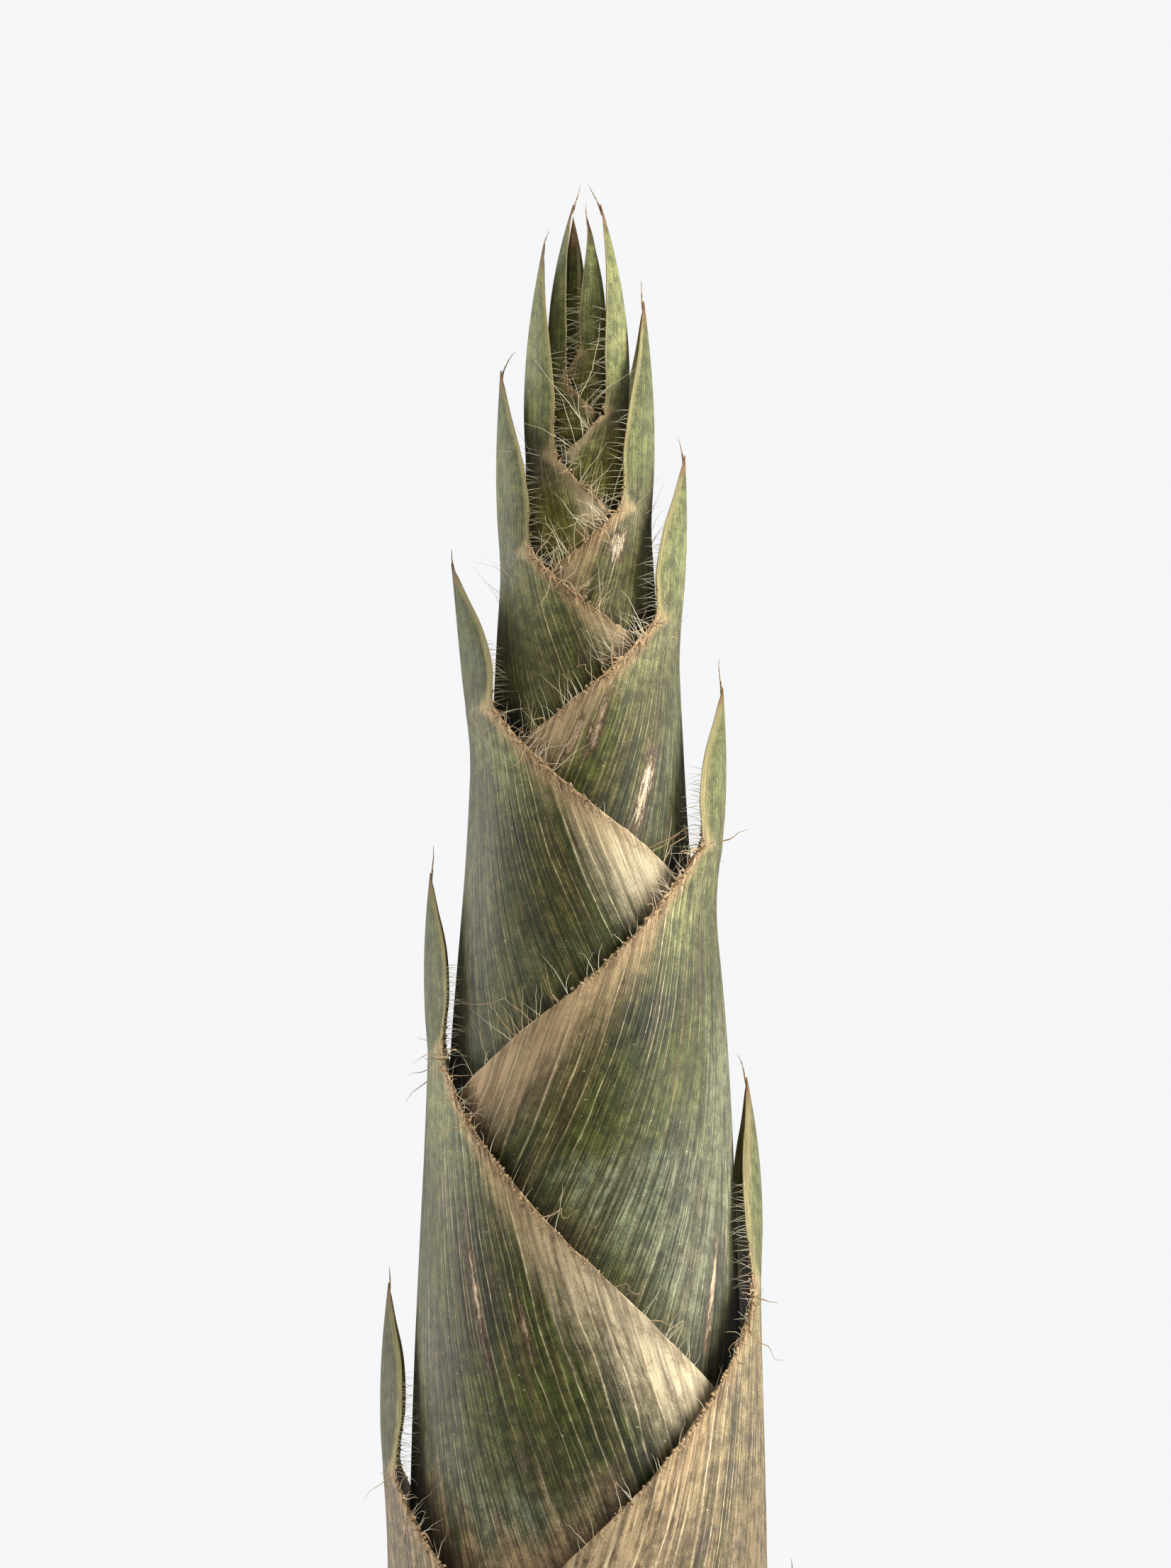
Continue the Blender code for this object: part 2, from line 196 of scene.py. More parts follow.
def smooth(x, xs, ys):
    """ys at x on a smooth curve through the points (xs, ys), carried on straight past the ends."""
    x = np.asarray(x, float)
    last = len(xs) - 1
    low = np.maximum(np.arange(len(xs)) - 1, 0)
    high = np.minimum(np.arange(len(xs)) + 1, last)
    slopes = (ys[high] - ys[low]) / (xs[high] - xs[low])
    k = np.clip(np.searchsorted(xs, x, side="right") - 1, 0, last - 1)
    width = xs[k + 1] - xs[k]
    t = np.clip((x - xs[k]) / width, 0, 1)
    rise = (3 - 2 * t) * t**2
    bend = width * (t * (1 - t) ** 2 * slopes[k] - t**2 * (1 - t) * slopes[k + 1])
    before = np.where(x < xs[0], (x - xs[0]) * slopes[0], 0)
    after = np.where(x > xs[-1], (x - xs[-1]) * slopes[-1], 0)
    return ys[k] + rise * (ys[k + 1] - ys[k]) + bend + (before + after)


def ease(x):
    """0 to 1 as x goes from 0 to 1, level at both ends."""
    t = np.clip(x, 0, 1)
    return t * t * (3 - 2 * t)


VEIN_SAMPLES = 1001  # veins tried to find the last one that enters the blade
HEIGHT_SAMPLES = 801  # heights tried to find where a vein meets the margin


class Leaf:
    """One leaf of the shoot: its shape from the table, its foot and tip from the frame's node."""

    def __init__(self, number):
        self.number = number
        self.node = f"sheath_{number:02d}"
        self.shape = LEAF_SHAPES[number - 1]
        self.look = LEAF_LOOKS[number - 1]
        self.girth = self.shape.radius / TYPICAL_RADIUS
        low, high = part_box(self.node)
        self.foot = low.z / MM
        self.tip = high.z / MM
        self.blade = self.tip - self.shape.ligule
        self.shoulder = SHOULDER_WIDTH / max(self.shape.radius, SHOULDER_LEAST_RADIUS)
        self.direction = math.radians(self.shape.turn + (180 if number % 2 else 0))
        self.closure = self.shape.ligule - self.shape.drop
        veins = np.linspace(0, math.pi, VEIN_SAMPLES)
        self.last_vein = float(np.interp(self.shoulder, self.fan(veins, self.shape.ligule), veins))

    def sheath_radius(self, z):
        """Outer radius of the closely wrapped sheath."""
        return smooth(z, HEIGHTS, RADII) + LAYER_STEP * (smooth(z, HEIGHTS, COUNTS) - self.number)

    def flare(self, angle, z):
        """How far the top of the sheath stands out, most under the blade."""
        rise = np.clip(1 - (self.shape.ligule - z) / (FLARE_SHARE * self.shape.drop), 0, None)
        return self.shape.flare * rise**2 * np.cos(angle / 2) ** 2

    def margin_height(self, angle):
        """Height of the sheath's upper edge at an angle from the middle of its blade."""
        share = np.clip((np.abs(angle) - self.shoulder) / (math.pi - self.shoulder), 0, 1)
        return self.shape.ligule - self.shape.drop * share**MARGIN_EASE

    def margin_angle(self, z):
        """Half the angle that the sheath covers at a height."""
        share = np.clip((self.shape.ligule - z) / self.shape.drop, 0, 1) ** (1 / MARGIN_EASE)
        return self.shoulder + (math.pi - self.shoulder) * share

    def fan(self, vein, z):
        """Angle round the shoot at which a vein, named by its angle at the foot, passes a height."""
        up = np.clip(1 - (self.shape.ligule - z) / (FAN_DEPTH * self.shape.drop), 0, 1)
        steep = min(1.0, self.shape.drop / (STEEP_DROP * self.shape.radius))
        pull = VEIN_PULL * steep * (math.pi / self.shoulder - 1) * up**FAN_EASE
        return vein / (1 + pull * (1 - (vein / math.pi) ** 2))

    def vein_top(self, vein):
        """Height where a vein leaves the sheath, by the ligule or by the margin."""
        z = np.linspace(self.closure, self.shape.ligule, HEIGHT_SAMPLES)[:, None]
        margin = self.margin_angle(z)
        inside = self.fan(np.abs(vein)[None, :], z) <= margin
        return z[:, 0][np.where(inside, np.arange(len(z))[:, None], 0).max(axis=0)]

    def blade_width(self, share):
        """Half the blade's width, measured round its arc."""
        shares, tapers = np.array(BLADE_TAPER).T
        width = min(self.shoulder * self.shape.radius, BLADE_SHARE * self.blade)
        return np.maximum(width * smooth(share, shares, tapers), 0)

    def blade_point(self, across, share, inset):
        """Point of the blade before its turn; across runs from -1 to 1 and share from its foot to its tip."""
        shape = self.shape
        foot_reach = shape.radius + shape.flare
        width = self.blade_width(share)
        fold = self.shoulder + (BLADE_FOLD - self.shoulder) * np.minimum(1.0, share / FOLDED_AT)
        arc = np.maximum(np.minimum(width / fold, shape.radius), BLADE_LEAST_ARC)
        angle = across * width / arc
        bulge = BLADE_BULGE * np.sin(math.pi * share) * min(1.0, self.blade / BULGED_LENGTH)
        middle = foot_reach + (shape.reach - foot_reach) * share**2 + bulge - arc
        reach = arc - inset
        z = shape.ligule + self.blade * share
        return np.stack([middle + reach * np.cos(angle), reach * np.sin(angle), z + 0 * angle], -1)

    def turned(self, points):
        """The points turned from +X to the leaf's own side."""
        c, s = math.cos(self.direction), math.sin(self.direction)
        x, y, z = np.moveaxis(points, -1, 0)
        return np.stack([x * c - y * s, x * s + y * c, z], -1)


ALL_LEAVES = [Leaf(number) for number in range(1, len(LEAF_SHAPES) + 1)]

COVERING_LEAVES = 3  # how many of the leaves outside one can hide it
FOOT_SHADE = 17.0  # steepness of the painted shade that stands beside the foot of a blade
FOOT_SHADE_WIDTH = 1.15  # its width as a share of the blade's own
FOOT_SHADE_RADIUS = 15.0  # beside the blades of sheaths slimmer than this, less of it is painted


def cover_height(number, around):
    """Height up to which the leaves outside hide this one, plus painted shade at their blade feet, round the
    shoot.
    """
    tops = [np.full(np.shape(around), ALL_LEAVES[0].foot)]
    for leaf in ALL_LEAVES[max(0, number - 1 - COVERING_LEAVES) : number - 1]:
        away = (around - leaf.direction + math.pi) % (2 * math.pi) - math.pi
        shade = np.clip(FOOT_SHADE_WIDTH - np.abs(away) / leaf.shoulder, 0, FOOT_SHADE_WIDTH - 1)
        steepness = FOOT_SHADE * min(1.0, leaf.shape.radius / FOOT_SHADE_RADIUS)
        tops.append(leaf.margin_height(away) + steepness * shade)
    return np.max(tops, axis=0)


def lowest_cover(number):
    """The height down to which some of a leaf can be seen, between the margins of the leaves outside it."""
    return float(np.min(cover_height(number, np.linspace(-math.pi, math.pi, 181))))


# ---- Fine leaf surfaces ----

COLUMNS_PER_VEIN = 4  # crest, flank, furrow, flank
HIDDEN_ROWS = 5  # rows of the part that the leaves outside cover
SEEN_ROW_PITCH = 1.25
LEAST_SEEN_ROWS = 10
ROWS_CLOSE_UP = 1.35  # over 1 draws a sheath's rows closer together towards its margin
BLADE_ROW_PITCH = 0.9
LEAST_BLADE_ROWS = 6
BLADE_ROWS_CLOSE_UP = 1.15
LIFT_REACH = 1.1  # distance from the edge over which its lift dies away
EDGE_TAPER, EDGE_THICKNESS = 2.5, 0.45  # the sheath thins to this share over this distance
BLADE_TAPER_IN, BLADE_EDGE_THICKNESS = 1.6, 0.3
KEEL, KEEL_WIDTH = 0.12, 0.1  # height of the blade's midrib, and its width as a share of half the blade
FAR_EDGE = 1000.0  # stands for no edge near

# vein:  number of the vein from the midline; side: sine of its angle at the foot, which tells left from right
# along: millimetres above the ligule; edge: millimetres to the free edge; tip: 0 on the sheath, 1 at the tip
# bare:  millimetres above the margins of the leaves outside this one, raised where painted shade stands by
# their blade feet
LEAF_ATTRIBUTES = ("vein", "side", "along", "edge", "tip", "bare")

# Slow waves of the surface: height, waves round the shoot, turn for each millimetre up, start
SWELLS = ((0.11, 2, 0.031, 0.6), (0.09, 3, -0.047, 2.1), (0.05, 5, 0.09, 0.0))
SWELL_LOW, SWELL_LOW_FADE = 9.0, 12.0  # they rise from nothing at this height, over this distance
SWELL_HIGH, SWELL_HIGH_FADE = 262.0, 40.0


def swell(angle, z):
    """The unevenness that all the leaves share, so that none cuts into the next."""
    waves = sum(height * np.sin(count * angle + turn * z + start) for height, count, turn, start in SWELLS)
    return waves * ease((z - SWELL_LOW) / SWELL_LOW_FADE) * ease((SWELL_HIGH - z) / SWELL_HIGH_FADE)


class LeafGrid:
    """Outer surface of a fine leaf: sheath rows all round, then blade rows between the two shoulders."""

    def __init__(self, leaf, sizes):
        self.leaf = leaf
        shape = leaf.shape
        self.columns = COLUMNS_PER_VEIN * shape.veins
        self.middle = self.columns // 2
        veins_in = int(leaf.last_vein / (2 * math.pi) * shape.veins)
        self.left = self.middle - COLUMNS_PER_VEIN * veins_in
        self.right = self.middle + COLUMNS_PER_VEIN * veins_in
        self.vein = 2 * math.pi * np.arange(self.columns) / self.columns - math.pi
        self.build_sheath(sizes)
        self.build_blade(sizes)

    def build_sheath(self, sizes):
        """Heights, angles, distances to the edge and points of the sheath's outside."""
        leaf, shape = self.leaf, self.leaf.shape
        top = leaf.vein_top(self.vein)
        free = ease((np.abs(self.vein) - leaf.last_vein) / 0.25) * ease((math.pi - np.abs(self.vein)) / 0.3)
        ragged = np.sin(61 * self.vein + leaf.number) + np.sin(97 * self.vein) + np.sin(23 * self.vein + 2)
        top = top + sizes.ragged / MM * 0.4 * ragged * free
        hidden_top = max(min(lowest_cover(leaf.number) - 3, leaf.closure - 1.5), leaf.foot + 0.5)
        seen = max(LEAST_SEEN_ROWS, int((shape.ligule - hidden_top) / SEEN_ROW_PITCH))
        low = leaf.foot + (hidden_top - leaf.foot) * np.linspace(0, 1, HIDDEN_ROWS + 1)[:-1]
        rise = 1 - (1 - np.linspace(0, 1, seen + 1)) ** ROWS_CLOSE_UP
        high = hidden_top + (top[None, :] - hidden_top) * rise[:, None]
        z = np.concatenate([np.repeat(low[:, None], self.columns, 1), high])
        angle = leaf.fan(self.vein[None, :], z)
        above = np.maximum(top[None, :] - z, 0) + 0.001
        beside = np.maximum((leaf.margin_angle(z) - np.abs(angle)) * shape.radius, 0) + 0.001
        beside = np.where(z > leaf.closure, beside, FAR_EDGE)
        above = np.where(np.abs(angle) < leaf.shoulder - 0.01, FAR_EDGE, above)
        self.edge = above * beside / np.sqrt(above**2 + beside**2)
        self.rows = len(z)
        self.sheath_z = z
        self.sheath_angle = angle
        self.sheath = self.sheath_points(sizes, 0.0)

    def ridge(self, sizes):
        """Height of the veins over the furrows between them, one value for each column."""
        number = self.vein / (2 * math.pi) * self.leaf.shape.veins
        uneven = 0.65 + 0.35 * np.sin(2.3 * np.round(number) + self.leaf.number)
        return sizes.vein_height / MM * uneven * np.cos(2 * math.pi * number)

    def sheath_points(self, sizes, inset, step=1):
        """Points of the sheath's outside or, in by the inset, of its inside; step leaves out columns."""
        leaf = self.leaf
        z, angle = self.sheath_z[:, ::step], self.sheath_angle[:, ::step]
        radius = leaf.sheath_radius(z) + leaf.flare(angle, z) + swell(angle + leaf.direction, z)
        edge = self.edge[:, ::step]
        lift = sizes.edge_lift / MM * np.exp(-edge / LIFT_REACH) * np.cos(angle / 2) ** 2
        radius = radius + lift * (0.7 + 0.3 * np.sin(7 * angle + 0.4 * z))
        if inset:
            radius = radius - inset * (EDGE_THICKNESS + (1 - EDGE_THICKNESS) * ease(edge / EDGE_TAPER))
        else:
            radius = radius + self.ridge(sizes)[None, ::step]
        return leaf.turned(np.stack([radius * np.cos(angle), radius * np.sin(angle), z], -1))

    def build_blade(self, sizes):
        """Shares of the blade's length and width, distances to its edge and points of its outside."""
        leaf = self.leaf
        rows = max(LEAST_BLADE_ROWS, int(leaf.blade / BLADE_ROW_PITCH))
        self.share = 1 - (1 - np.linspace(0, 1, rows + 1)[1:]) ** BLADE_ROWS_CLOSE_UP
        self.across = (np.arange(self.left, self.right + 1) - self.middle) / (self.right - self.middle)
        self.blade_edge = (1 - np.abs(self.across[None, :])) * leaf.blade_width(self.share)[:, None]
        self.blade = self.blade_points(sizes, 0.0)

    def blade_points(self, sizes, inset, step=1):
        """Points of the blade's outside or, in by the inset, of its inside; step leaves out columns."""
        leaf = self.leaf
        across, share = self.across[None, ::step], self.share[:, None]
        edge = self.blade_edge[:, ::step]
        if inset:
            thin = BLADE_EDGE_THICKNESS + (1 - BLADE_EDGE_THICKNESS) * ease(edge / BLADE_TAPER_IN)
            depth = inset * thin * (1 - 0.6 * share)
        else:
            veins = self.ridge(sizes)[self.left : self.right + 1][None, :]
            keel = KEEL * np.exp(-((across / KEEL_WIDTH) ** 2)) * ease(share * 4)
            depth = -(veins * 0.5 * (1 - share) + keel)
        points = leaf.turned(leaf.blade_point(across, share, depth))
        x, y, z = np.moveaxis(points, -1, 0)
        points[..., :2] *= (1 + swell(np.arctan2(y, x), z) * (1 - share**2) / np.hypot(x, y))[..., None]
        return points


def ring_faces(grid, outer, inner, coarse):
    """Faces of the sheath's two sides, given the vertex numbers of their rows and columns."""
    n, step = grid.columns, COLUMNS_PER_VEIN
    faces = []
    for r in range(grid.rows - 1):
        for c in range(n):
            d = (c + 1) % n
            faces.append((outer[r, c], outer[r, d], outer[r + 1, d], outer[r + 1, c]))
        for c in range(coarse):
            d = (c + 1) % coarse
            faces.append((inner[r + 1, c], inner[r + 1, d], inner[r, d], inner[r, c]))
    for c in range(coarse):
        d = (c + 1) % coarse
        span = [(c * step + k) % n for k in range(step + 1)]
        faces.append([outer[0, k] for k in reversed(span)] + [inner[0, c], inner[0, d]])
        if not grid.left <= c * step < grid.right:
            faces.append([outer[-1, k] for k in span] + [inner[-1, d], inner[-1, c]])
    return faces


def blade_faces(outer, inner):
    """Faces of the blade's two sides and of its two edges; the rows start on the sheath's top row."""
    faces = []

    def add(*corners, turn=1):
        """Adds a face of these corners, unless it would be empty."""
        face = list(dict.fromkeys(corners))
        if len(face) > 2:
            faces.append(face[::turn])

    for r in range(len(outer) - 1):
        for side, turn in ((outer[r : r + 2], 1), (inner[r : r + 2], -1)):
            for c in range(side.shape[1] - 1):
                add(side[0, c], side[0, c + 1], side[1, c + 1], side[1, c], turn=turn)
        add(outer[r, 0], outer[r + 1, 0], inner[r + 1, 0], inner[r, 0])
        add(outer[r + 1, -1], outer[r, -1], inner[r, -1], inner[r + 1, -1])
    return faces


def closed_faces(first, rows, columns, low, high):
    """Faces round rings of points numbered from first on, closed by the end points low and high."""
    faces = []
    for c in range(columns):
        d = (c + 1) % columns
        faces.append((low, first + d, first + c))
        for start in range(first, first + (rows - 1) * columns, columns):
            faces.append((start + c, start + d, start + columns + d, start + columns + c))
        last = first + (rows - 1) * columns
        faces.append((last + c, last + d, high))
    return faces


def leaf_mesh(leaf, sizes):
    """The fine leaf as one closed mesh, with the attributes that its finish reads."""
    grid = LeafGrid(leaf, sizes)
    thickness = sizes.thickness / MM
    step = COLUMNS_PER_VEIN
    blocks, values = [], []

    def add(points, vein, along, edge, tip, bare):
        """Adds a block of points with their values and gives the numbers of its points."""
        shape = points.shape[:-1]
        start = sum(len(block) for block in blocks)
        blocks.append(points.reshape(-1, 3))
        number = np.abs(vein) / (2 * math.pi) * leaf.shape.veins
        columns = (number, np.sin(vein), along, edge, tip, bare)
        values.append(np.stack([np.broadcast_to(v, shape).ravel() for v in columns], -1))
        return start + np.arange(int(np.prod(shape))).reshape(shape)

    fold = grid.vein[None, :]
    above = grid.sheath_z - leaf.shape.ligule
    bare = grid.sheath_z - cover_height(leaf.number, grid.sheath_angle + leaf.direction)
    outer = add(grid.sheath, fold, above, grid.edge, 0.0, bare)
    hollow = grid.sheath_points(sizes, thickness, step)
    inner = add(hollow, fold[:, ::step], above[:, ::step], grid.edge[:, ::step], 0.0, bare[:, ::step])
    faces = ring_faces(grid, outer, inner, grid.columns // step)

    blade_vein = fold[:, grid.left : grid.right + 1]
    blade_along = (grid.share * leaf.blade)[:, None]
    share = grid.share[:, None]
    middle = len(grid.across) // 2
    seen = np.arctan2(grid.blade[:-1, :, 1], grid.blade[:-1, :, 0])
    bare = grid.blade[:-1, :, 2] - cover_height(leaf.number, seen)
    body = add(grid.blade[:-1], blade_vein, blade_along[:-1], grid.blade_edge[:-1], share[:-1], bare)
    point = add(grid.blade[-1:, middle], 0.0, leaf.blade, 0.0, 1.0, FAR_EDGE)
    cup = grid.blade_points(sizes, thickness, step)
    cup_edge = grid.blade_edge[:-1, ::step]
    lining = add(cup[:-1], blade_vein[:, ::step], blade_along[:-1], cup_edge, share[:-1], FAR_EDGE)
    end = add(cup[-1:, middle // step], 0.0, leaf.blade, 0.0, 1.0, FAR_EDGE)
    top = outer[-1:, grid.left : grid.right + 1]
    outside = np.vstack([top, body, np.repeat(point, top.shape[1])[None]])
    top = inner[-1:, grid.left // step : grid.right // step + 1]
    inside = np.vstack([top, lining, np.repeat(end, top.shape[1])[None]])
    faces += blade_faces(outside, inside)
    return make_mesh(leaf.node.replace("sheath", "leaf"), np.vstack(blocks), faces, np.vstack(values))


def give(mesh, label, values):
    """Stores a number or a direction for each point of a mesh, under a name."""
    kind, key = ("FLOAT_VECTOR", "vector") if values.ndim == 2 else ("FLOAT", "value")
    data = mesh.attributes.new(label, kind, "POINT").data
    data.foreach_set(key, np.ascontiguousarray(values, np.float32).ravel())


def make_mesh(name, points, faces, values=None):
    """A mesh from points in millimetres, with the leaf's attributes where they are given."""
    mesh = bpy.data.meshes.new(name)
    mesh.from_pydata((points * MM).tolist(), [], [[int(i) for i in face] for face in faces])
    if values is not None:
        for label, column in zip(LEAF_ATTRIBUTES, values.T):
            give(mesh, label, column)
    mesh.shade_smooth()
    mesh.update()
    return mesh


def spear_mesh(sizes):
    """The rolled leaf at the very tip: a slim spindle with a seam that winds up its side."""
    foot, top = (corner.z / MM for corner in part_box("spear_leaf"))
    levels = np.array([*SPEAR_LEVELS, (1.0, 0.0)])
    columns, rows = 48, 60
    share = (1 - (1 - np.linspace(0, 1, rows + 1)) ** 1.2)[:, None]
    angle = (2 * math.pi * np.arange(columns) / columns)[None, :]
    seam = (angle - SPEAR_TWIST * share - SPEAR_SEAM) % (2 * math.pi)
    radius = SPEAR_RADIUS * smooth(share, levels[:, 0], levels[:, 1])
    veins = 0.5 * sizes.vein_height / MM * np.cos(SPEAR_VEINS * seam)
    overlap = SPEAR_STEP * np.exp(-seam / 0.8) - SPEAR_STEP * np.exp(-(2 * math.pi - seam) / 0.25)
    radius = np.maximum(radius + (veins + overlap) * (1 - share**4), 0) * (share < 1)
    middle = -SPEAR_LEAN * (1 + share)
    z = foot + (top - foot) * share + 0 * angle
    points = np.stack([middle + radius * np.cos(angle), radius * np.sin(angle), z], -1)
    body = np.vstack([points[:-1].reshape(-1, 3), points[-1:, 0], [[-SPEAR_LEAN, 0.0, foot]]])
    faces = closed_faces(0, rows, columns, len(body) - 1, len(body) - 2)
    edge = np.minimum(seam, 2 * math.pi - seam) * radius
    vein = SPEAR_VEINS / 2 * seam / math.pi
    tip = 0.4 + 0.6 * share + 0 * angle
    values = np.stack([vein, np.sin(seam), z - foot, edge, tip, FAR_EDGE + 0 * z], -1)
    values = np.vstack([values[:-1].reshape(-1, len(LEAF_ATTRIBUTES)), values[-1:, 0], values[:1, 0]])
    return make_mesh("leaf_spear", body, faces, values)


CORE_ROWS = 5  # rings of the stem inside each leaf


def stem_mesh():
    """The stem: its flat cut, the bare base with fine rings, and the core that the leaves stand round."""
    columns = 96
    base = np.array(BASE_PROFILE)
    z = np.linspace(base[1, 1], base[-1, 1], 30)
    rings = 0.05 * np.sin(11 * z) + 0.04 * np.sin(23 * z + 1)
    wall = np.stack([np.interp(z, base[:, 1], base[:, 0]) + rings, z], -1)
    core = []
    feet = [leaf.foot for leaf in ALL_LEAVES] + [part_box("spear_leaf")[0].z / MM]
    for leaf, low, high in zip(ALL_LEAVES, feet, feet[1:]):
        for height in np.linspace(low - SEAT_GAP, high - SEAT_GAP, CORE_ROWS):
            core.append((leaf.sheath_radius(height) - STEM_INSET, height))
    cut = [(radius, 0.0) for radius in np.linspace(0, base[0, 0], 16)[1:]]
    profile = np.vstack([cut, wall, core])
    angle = 2 * math.pi * np.arange(columns) / columns
    radius, height = profile[:, :1], profile[:, 1:]
    fibres = 0.06 * np.cos(32 * angle[None, :] + 0.3 * height) * ease((height - 0.3) / 0.6)
    radius = radius + fibres
    points = np.stack([radius * np.cos(angle), radius * np.sin(angle), height + 0 * angle], -1)
    body = np.vstack([[[0.0, 0.0, 0.0]], points.reshape(-1, 3), [[0.0, 0.0, profile[-1, 1]]]])
    return make_mesh("stem_body", body, closed_faces(1, len(profile), columns, 0, len(body) - 1))


# ---- Hairs, fringe, crust and root buds ----


def unit(vectors):
    """The vectors, each brought to a length of 1."""
    return vectors / np.linalg.norm(vectors, axis=-1, keepdims=True)


def margin_frame(leaf, angle, side, sizes):
    """Points of a sheath margin at these angles, with the ways along it, off it and outwards."""

    def place(angle):
        """The margin's point at an angle from the middle of the blade."""
        z = leaf.margin_height(angle)
        radius = leaf.sheath_radius(z) + leaf.flare(angle, z) + swell(side * angle + leaf.direction, z)
        radius = radius + sizes.edge_lift / MM * np.cos(angle / 2) ** 2 - 0.1
        return np.stack([radius * np.cos(side * angle), radius * np.sin(side * angle), z], -1)

    here = place(angle)
    along = unit(place(angle + 0.01) - here)
    out = np.stack([np.cos(side * angle), np.sin(side * angle), 0 * angle], -1)
    off = side * np.cross(out, along)
    return [leaf.turned(vectors) for vectors in (here, along, off, out)]


def blade_frame(leaf, share, side):
    """Points of a blade's edge, with the ways up it, inwards to the shoot's axis and sideways."""
    here = leaf.blade_point(side * np.ones_like(share), share, 0.1)
    along = unit(leaf.blade_point(side * np.ones_like(share), share + 0.01, 0.1) - here)
    inwards = np.stack([-np.ones_like(share), 0 * share, 0 * share], -1)
    sideways = np.stack([0 * share, side * np.ones_like(share), 0 * share], -1)
    return [leaf.turned(vectors) for vectors in (here, along, inwards, sideways)]


HAIR_LIMIT = np.array(CAD_BOX[1]) / MM + 0.6  # hairs that would end further out are left off

# Lengths and radii in millimetres; messy bends a hair's first direction, sag is its fall over its length
HairKind = namedtuple("HairKind", "shortest longest thinnest thickest messy sag")
BRISTLES = HairKind(1.6, 6.5, 0.035, 0.06, 0.16, 0.3)
COMB_HAIRS = HairKind(1.4, 3.2, 0.028, 0.042, 0.08, 0.15)
CORNER_HAIRS = HairKind(2.0, 6.0, 0.03, 0.045, 0.2, 0.2)
CROSSING_HAIRS = HairKind(4.0, 11.0, 0.045, 0.07, 0.25, 0.2)
CURLY_SHREDS = HairKind(1.0, 5.5, 0.06, 0.16, 0.35, 0.7)
STRAIGHT_FIBRES = HairKind(2.0, 5.5, 0.1, 0.2, 0.06, 0.15)
HANGING_SHREDS = HairKind(2.5, 8.0, 0.06, 0.1, 0.2, 0.5)
HANGING_COUNT = 5  # on each side of a leaf
BOTH_SIDES = (-1, 1)


class Cloud:
    """Points with named values, all drawn from one seed, for a geometry tree to grow something on."""

    columns = {}

    def __init__(self, name, seed):
        self.name = name
        self.random = np.random.default_rng(seed)
        self.rows = []

    def between(self, low, high, number):
        """Numbers spread evenly from low to high."""
        return self.random.uniform(low, high, number)

    def anchors(self):
        """A mesh of loose points with the cloud's values, in metres but for the aims."""
        rows = np.vstack(self.rows)
        mesh = bpy.data.meshes.new(self.name + "_anchors")
        mesh.from_pydata((rows[:, :3] * MM).tolist(), [], [])
        for label, columns in self.columns.items():
            give(mesh, label, rows[:, columns] * (1 if label == "aim" else MM))
        return mesh


class Strands(Cloud):
    """Hairs, each with its root, first direction, length, sag and radius."""

    columns = {"aim": slice(3, 6), "sag": slice(7, 10), "length": 6, "thick": 10}

    def count(self, number):
        """A whole number of hairs, drawn so that small shares come out right on average."""
        return int(number + self.random.random())

    def add(self, roots, aims, lengths, radii, messy, sag):
        """Adds hairs with the given lengths and radii."""
        aims = unit(aims + messy * self.random.normal(0, 1, roots.shape))
        fall = self.random.normal(0, 0.6, roots.shape) + (0, 0, -0.5)
        lengths, radii = (np.broadcast_to(given, roots.shape[:1])[:, None] for given in (lengths, radii))
        falls = sag * lengths * fall
        ends = roots + aims * lengths + falls
        kept = (np.abs(ends[:, :2]) < HAIR_LIMIT[:2]).all(axis=1)
        self.rows.append(np.hstack([roots, aims, lengths, falls, radii])[kept])

    def grow(self, roots, aims, kind, long=1.0, thick=1.0, lengths=None):
        """Adds hairs of one kind, with drawn lengths and radii scaled by long and thick."""
        if lengths is None:
            lengths = long * self.between(kind.shortest, kind.longest, len(roots))
        radii = thick * self.between(kind.thinnest, kind.thickest, len(roots))
        self.add(roots, aims, lengths, radii, kind.messy, kind.sag)


def margin_hairs(leaf, strands, sizes):
    """Sparse fine hairs off a sheath's margins."""
    low, high = leaf.shoulder + 0.03, 2.9
    length = leaf.shape.radius * (high - low) + 0.4 * leaf.shape.drop
    for side in BOTH_SIDES:
        number = strands.count(sizes.hair_density * leaf.look.hairy * length)
        angle = low + (high - low) * strands.random.beta(1.1, 1.2, number)
        roots, along, off, out = margin_frame(leaf, angle, side, sizes)
        lean = strands.between(-0.1, 0.9, number)[:, None]
        lift = strands.between(0.05, 0.35, number)[:, None]
        strands.grow(roots, off - lean * along + lift * out, BRISTLES)


def gap_hairs(leaf, strands, sizes):
    """A comb of pale hairs across the gap between a blade's foot and the shoot, and a few at its corners."""
    pitch, corner = (1.6, 5) if leaf.number >= FIRST_YOUNG else (2.6, 13)
    for side in BOTH_SIDES:
        number = strands.count(pitch * 0.5 * leaf.blade)
        share = 0.5 * (np.arange(number) + strands.random.random(number)) / max(number, 1)
        roots, along, inwards, sideways = blade_frame(leaf, share, side)
        aims = strands.between(-0.4, 0.5, number)[:, None] * along + inwards + 0.25 * sideways
        strands.grow(roots, aims, COMB_HAIRS, long=1.2 - share)
        number = strands.count(corner)
        angle = leaf.shoulder + 6.0 / leaf.shape.radius * strands.random.random(number)
        roots, along, off, out = margin_frame(leaf, angle, side, sizes)
        strands.grow(roots, off + 0.25 * out + 0.3 * along, CORNER_HAIRS)


